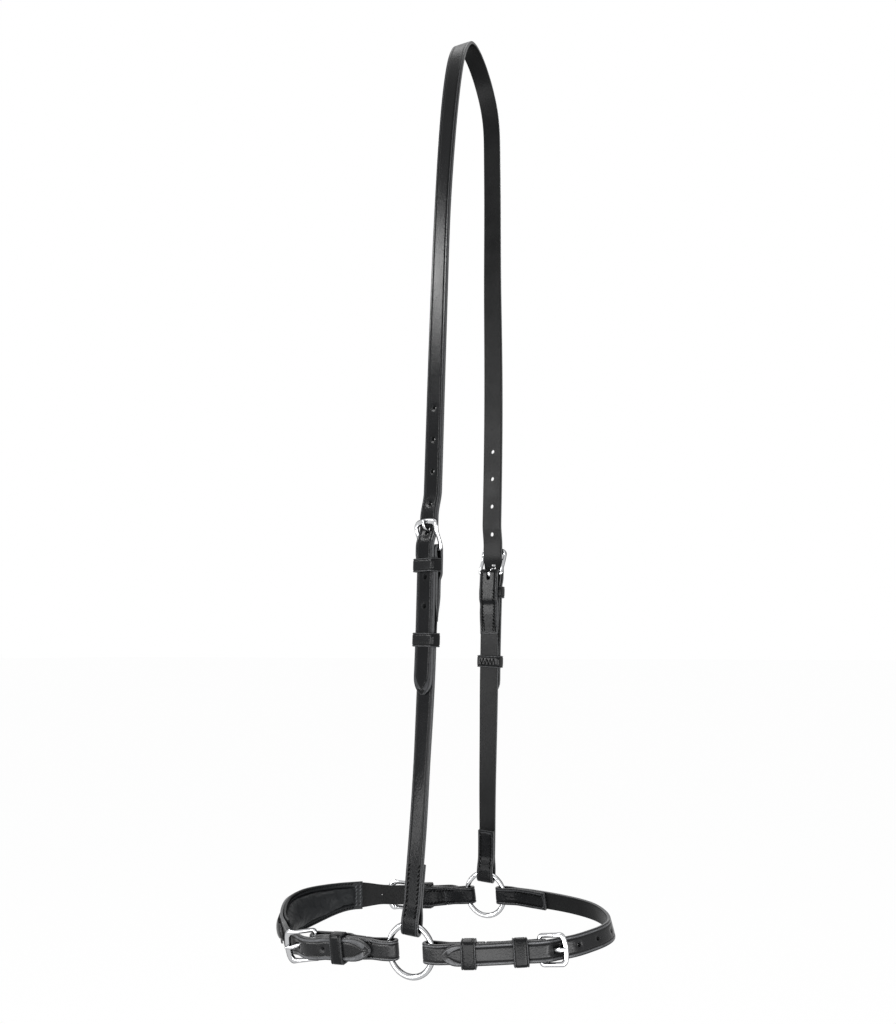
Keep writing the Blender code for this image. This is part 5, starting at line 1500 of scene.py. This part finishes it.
def nosePad(route):
    # flange, sewn channel and crowned cushion, with flat sewn-down ends
    middle = route.length / 2
    nearReach = middle - padEnd
    farReach = nearReach + padCut["farMore"]
    halves = []
    for reach in (nearReach, farReach):
        *end, body = [reach - back for back in padCut["endAt"]]
        halves.append(end + spread(body, padCut["middleAt"], padCut["step"]))
    stations = [-s for s in halves[0]] + list(reversed(halves[1]))
    rings, marks = [], []
    for away in stations:
        reach = nearReach if away < 0 else farReach
        cushion = reach - padCut["endFlat"]
        s = middle + away
        edge = padWidth(route, s) / 2
        sewn = edge - padCut["flange"]
        thick = padCut["flangeThick"]
        if abs(away) >= reach - padCut["endRound"]:
            thick *= padCut["endThin"]
        within = min(1.0, abs(away) / cushion)
        full = max(0.0, 1 - within ** padCut["endBow"]) ** 0.5
        sunk = min(1.0, full * 3)
        low = thick - padCut["channel"] * sunk
        deep = thick + (padCut["depth"] - thick) * full
        side = [(edge, 0.05 * mm, 0.0), (edge, thick * 0.45, 0.0), (edge - 0.18 * mm, thick * 0.82, 0.2),
                (edge - 0.5 * mm, thick, 0.5), (edge - 1.1 * mm, thick, 1.1), (edge - 1.9 * mm, thick, 1.9),
                (sewn + 0.55 * mm, thick - 0.05 * mm, 2.6), (sewn + 0.2 * mm, low + 0.15 * mm, 3.0),
                (sewn, low, 3.2)]
        for index in range(1, padCut["across"]):
            share = math.cos(math.pi / 2 * index / padCut["across"])
            rise = (1 - share ** padCut["crownBow"]) ** (1 / padCut["crownFull"])
            side.append((sewn * share, low + (deep - low) * rise, 4.0 + index))
        section = side + [(0.0, deep, 20.0)] + [(-b, h, e) for b, h, e in reversed(side)]
        heights = []
        for b, h, e in section:
            beyond = abs(abs(b) - sewn)
            fade = math.exp(-beyond / padCut["puckerReach"]) * smooth(e, 0.5, 2.6)
            drawn = padCut["pucker"] * (1.0 if abs(b) < sewn - 0.1 * mm else 0.35) * fade
            heights.append(h + drawn * (pucker(s, math.copysign(1.0, b)) - 0.5) * sunk)
        rings.append(route.points(np.full(len(section), s), [padFace - h for h in heights],
                                  [b for b, _, _ in section]))
        marks.append([(e, 1.0) for _, _, e in section])
    made = skin("nosePad", rings, marks, padLeather, angle=70.0)
    swell(made, np.flatnonzero(np.asarray(marks).reshape(-1, 2)[:, 0] < padCut["freeFrom"]))
    dress(made, "nose", "lining", "nose_lining", "nose_foam")
    face = padFace - padCut["flangeThick"]
    rows = [flangeRow(route, middle - nearReach, middle + farReach, face, hand) for hand in (-1, 1)]
    wide = padCut["endWidth"] / 2 - padCut["endRowInset"]
    endRows = []
    for inward in padCut["endRows"]:
        for s in (middle - nearReach + inward, middle + farReach - inward):
            endRows.append(stitchRow(route, -wide, wide, s, lambda at: face, -1.0, crossing=True))
    threads("padStitches", rows, "nose")
    threads("padEndStitches", endRows, "nose", greyThread)


def flangeRow(route, start, end, face, hand):
    # a row along the flange, following the changing width of the pad
    start, end, pitch = start + padCut["rowEnd"], end - padCut["rowEnd"], stitchCut["pitch"]
    count = max(1, int(abs(end - start) / pitch))
    tubes = []
    for index in range(count):
        s = start + (end - start) * (index + 0.5) / count
        across = hand * (padWidth(route, s) / 2 - padCut["rowInset"])
        tubes += stitchRow(route, s - pitch / 2, s + pitch / 2, across, lambda at: face, -1.0)[1]
    return route, tubes, False


chinLook = {
    "width": 11.6 * mm, "billet": 57.0 * mm, "tip": 9.0 * mm, "crease": 2.1 * mm, "cusp": 2.8 * mm,
    "pitch": 15.5 * mm, "ahead": 3, "bore": 2.7 * mm, "flesh": 0.12,
    "tipHole": 20.0 * mm,        # from the hole in use to the one towards the tip
    "buckle": 12.8 * mm, "frame": 11.6 * mm, "frontBar": 3.0 * mm,
    "tab": {"near": 79.0 * mm}, "keeper": {"near": 12.0 * mm}, "loop": 42.0 * mm,
    "turnback": 47.0 * mm, "tabTaper": 17.6 * mm, "ringTurnback": 50.0 * mm, "endTaper": 40.0 * mm,
    "rowFrom": 8.0 * mm, "rowToHeel": 10.0 * mm, "rowToEnd": 1.5 * mm, "stitchInset": 2.3 * mm,
}


def chinTab(route):
    heel, width = chinLook["tab"]["near"], chinLook["width"]
    widths = taper([(ringOuter, cut["ringEnd"]), (ringOuter + chinLook["tabTaper"], width)])
    foldedStrap("chinTabLeather", route, chinLook, "near", chinLook["turnback"] - cut["join"] / 2,
                chinLook["turnback"] + cut["join"] / 2, widths, fine["curved"], "chin", "chin_tab",
                loopLeather)
    fittings("chin", route, chinLook, "near", "chin", "chin")
    runningKeeper("chinLoop", route, heel - chinLook["loop"], width, -layerHalf - leather / 2, "chin_loop")
    inset = width / 2 - chinLook["stitchInset"]
    start = ringOuter + chinLook["rowFrom"]
    rows = bothFaces(route, start, heel - chinLook["rowToHeel"], inset, tabFace(chinLook, "near"))
    rows += bothFaces(route.turned(), start, chinLook["ringTurnback"] - chinLook["rowToEnd"], inset, ringFace)
    threads("chinStitches", rows, "chin")


def chinStrap(route):
    heel = chinLook["tab"]["near"]
    front, used, tipAt = heel + chinLook["buckle"], heel + holeSize["usedAt"], heel - chinLook["billet"]
    places = [used + chinLook["pitch"] * index for index in range(1, chinLook["ahead"] + 1)]
    holes = billetHoles(chinLook, "near", places + [used - chinLook["tipHole"]])
    end = route.length - layersClosed - 10 * mm
    path = billetPath(chinLook, heel, end, fine["curved"], holes, resting=layerHalf)
    far = ringFold(chinLook["ringTurnback"], fine["curved"])
    far += run(layersClosed + 0.5 * mm, layersClosed + 6 * mm, layerHalf, fine["curved"])
    path += mirrored(far, route)
    body = taper([(route.length - chinLook["endTaper"], chinLook["width"]),
                  (route.length - ringOuter, cut["ringEnd"])])
    made = strap("chinStrapLeather", route, path, lambda s: pointed(body(s), chinLook["tip"], s - tipAt),
                 loopLeather, toPoint(chinLook["crease"], [(tipAt, 1)], chinLook["cusp"], chinLook["tip"]),
                 holes, worn=wornLeather)
    cutters = [hole(s, billetHeight(heel, front, s, layerHalf), long, wide) for s, long, wide in holes]
    punch(made, route, cutters, chinLook["flesh"])
    return dress(made, "chin", "leather", "chin_strap")


head = headRoute()
headpiece(head)
headSide("near", head)
headSide("far", head.turned())
print("headpiece, cheeks and rings ready")

nose = noseRoute()
noseSide("near", nose)
noseSide("far", nose.turned())
noseStrap(nose)
overlay(nose)
nosePad(nose)
print("nose strap and pad ready")

chin = chinRoute()
chinTab(chin)
chinStrap(chin)
print("chin strap ready")


# Studio: a wide pale floor that meets white air, soft lamps and the camera

studio = {
    "below": 0.42,               # floor under the object
    "half": 60.0,                # half the floor's side
    "paper": (0.96, 0.96, 0.96, 1.0), "glow": 1.0, "glowShare": 0.975,
    "air": 0.42,                 # how strongly the air lights the object
    "airSeen": 1.0,
}


def seenRays(tree):
    # 1 for what the camera sees, by itself or through a reflection
    rays = addNode(tree, "ShaderNodeLightPath").outputs
    seen = mathNode(tree, "MAXIMUM", rays["Is Camera Ray"], rays["Is Glossy Ray"])
    return mathNode(tree, "MAXIMUM", seen, rays["Is Transmission Ray"])


def paperMaterial():
    made, tree, shader = newMaterial("paper", {"Roughness": 0.9, "Base Color": studio["paper"]})
    glow = addNode(tree, "ShaderNodeEmission", {"Strength": studio["glow"]})
    share = mathNode(tree, "MULTIPLY", seenRays(tree), studio["glowShare"])
    mix = addNode(tree, "ShaderNodeMixShader", {0: share, 1: shader.outputs[0], 2: glow.outputs[0]})
    tree.links.new(mix.outputs[0], tree.nodes["Material Output"].inputs["Surface"])
    return made


def floor():
    half, level = studio["half"], cadBox[0][2] - studio["below"]
    corners = [(x, y, level) for x, y in ((-half, -half), (half, -half), (half, half), (-half, half))]
    data = bpy.data.meshes.new("paperFloor")
    data.from_pydata(corners, [], [(0, 1, 2, 3)])
    data.materials.append(paperMaterial())
    addObject("paperFloor", data)


# each lamp's place, what it points at, its width and height, and its power
lamps = {
    "highSoftbox": ((-1.23, -0.50, 0.50), (0.0, -0.05, -0.21), (0.34, 0.26), 8.0),
    "sideSoftbox": ((-0.71, -0.89, -0.22), (0.0, 0.05, -0.38), (0.20, 0.64), 12.0),
    "cornerSoftbox": ((-0.88, -0.82, -0.72), (0.0, -0.06, -0.64), (0.50, 0.20), 4.5),
    "frontSoftbox": ((0.36, -1.06, -0.72), (0.05, 0.0, -0.62), (2.15, 0.50), 29.0),
    "rightSoftbox": ((1.10, -0.52, -0.64), (0.09, -0.02, -0.65), (0.60, 0.36), 8.0),
    "backSoftbox": ((-0.42, 1.3, 0.72), (-0.12, 0.0, -0.65), (0.8, 0.5), 5.0),
    "topSoftbox": ((0.2, 0.1, 1.3), (0.0, 0.0, -0.34), (1.2, 1.2), 9.0),
}


def softbox(name, at, target, size, power):
    lamp = bpy.data.lights.new(name, "AREA")
    lamp.shape = "RECTANGLE"
    lamp.size, lamp.size_y = size
    lamp.energy = power
    made = addObject(name, lamp)
    made.location = at
    made.rotation_euler = (Vector(target) - Vector(at)).to_track_quat("-Z", "Y").to_euler()
    made.visible_camera = False


def world():
    # plain air that lights the object less than it shows
    made = bpy.data.worlds.new("studioAir")
    made.use_nodes = True
    tree = made.node_tree
    tree.nodes.clear()
    level = mathNode(tree, "MULTIPLY_ADD", seenRays(tree), studio["airSeen"] - studio["air"], studio["air"])
    air = addNode(tree, "ShaderNodeBackground", {"Color": (1.0, 1.0, 1.0, 1.0), "Strength": level})
    addNode(tree, "ShaderNodeOutputWorld", {"Surface": air.outputs[0]})
    bpy.context.scene.world = made


# the camera that fits the photograph: degrees round to the near side and up, lens in millimetres
cameraLook = {"at": (0.2146, -0.5342, -0.4693), "turn": 23.7, "rise": 9.7, "sensor": 36.0, "lens": 28.4765625,
              "nearest": 0.01}


def camera():
    turn, rise = math.radians(cameraLook["turn"]), math.radians(cameraLook["rise"])
    ahead = Vector((-math.sin(turn) * math.cos(rise), math.cos(turn) * math.cos(rise), math.sin(rise)))
    right = Vector((math.cos(turn), math.sin(turn), 0.0))
    data = bpy.data.cameras.new("photoCamera")
    data.sensor_width = cameraLook["sensor"]
    data.lens = cameraLook["lens"]
    data.clip_start = cameraLook["nearest"]
    made = addObject("photoCamera", data)
    made.matrix_world = Matrix((right, right.cross(ahead), -ahead)).transposed().to_4x4()
    made.location = cameraLook["at"]
    bpy.context.scene.camera = made


floor()
for name, values in lamps.items():
    softbox(name, *values)
world()
camera()
bpy.context.scene.view_settings.view_transform = "Standard"
print("studio ready")
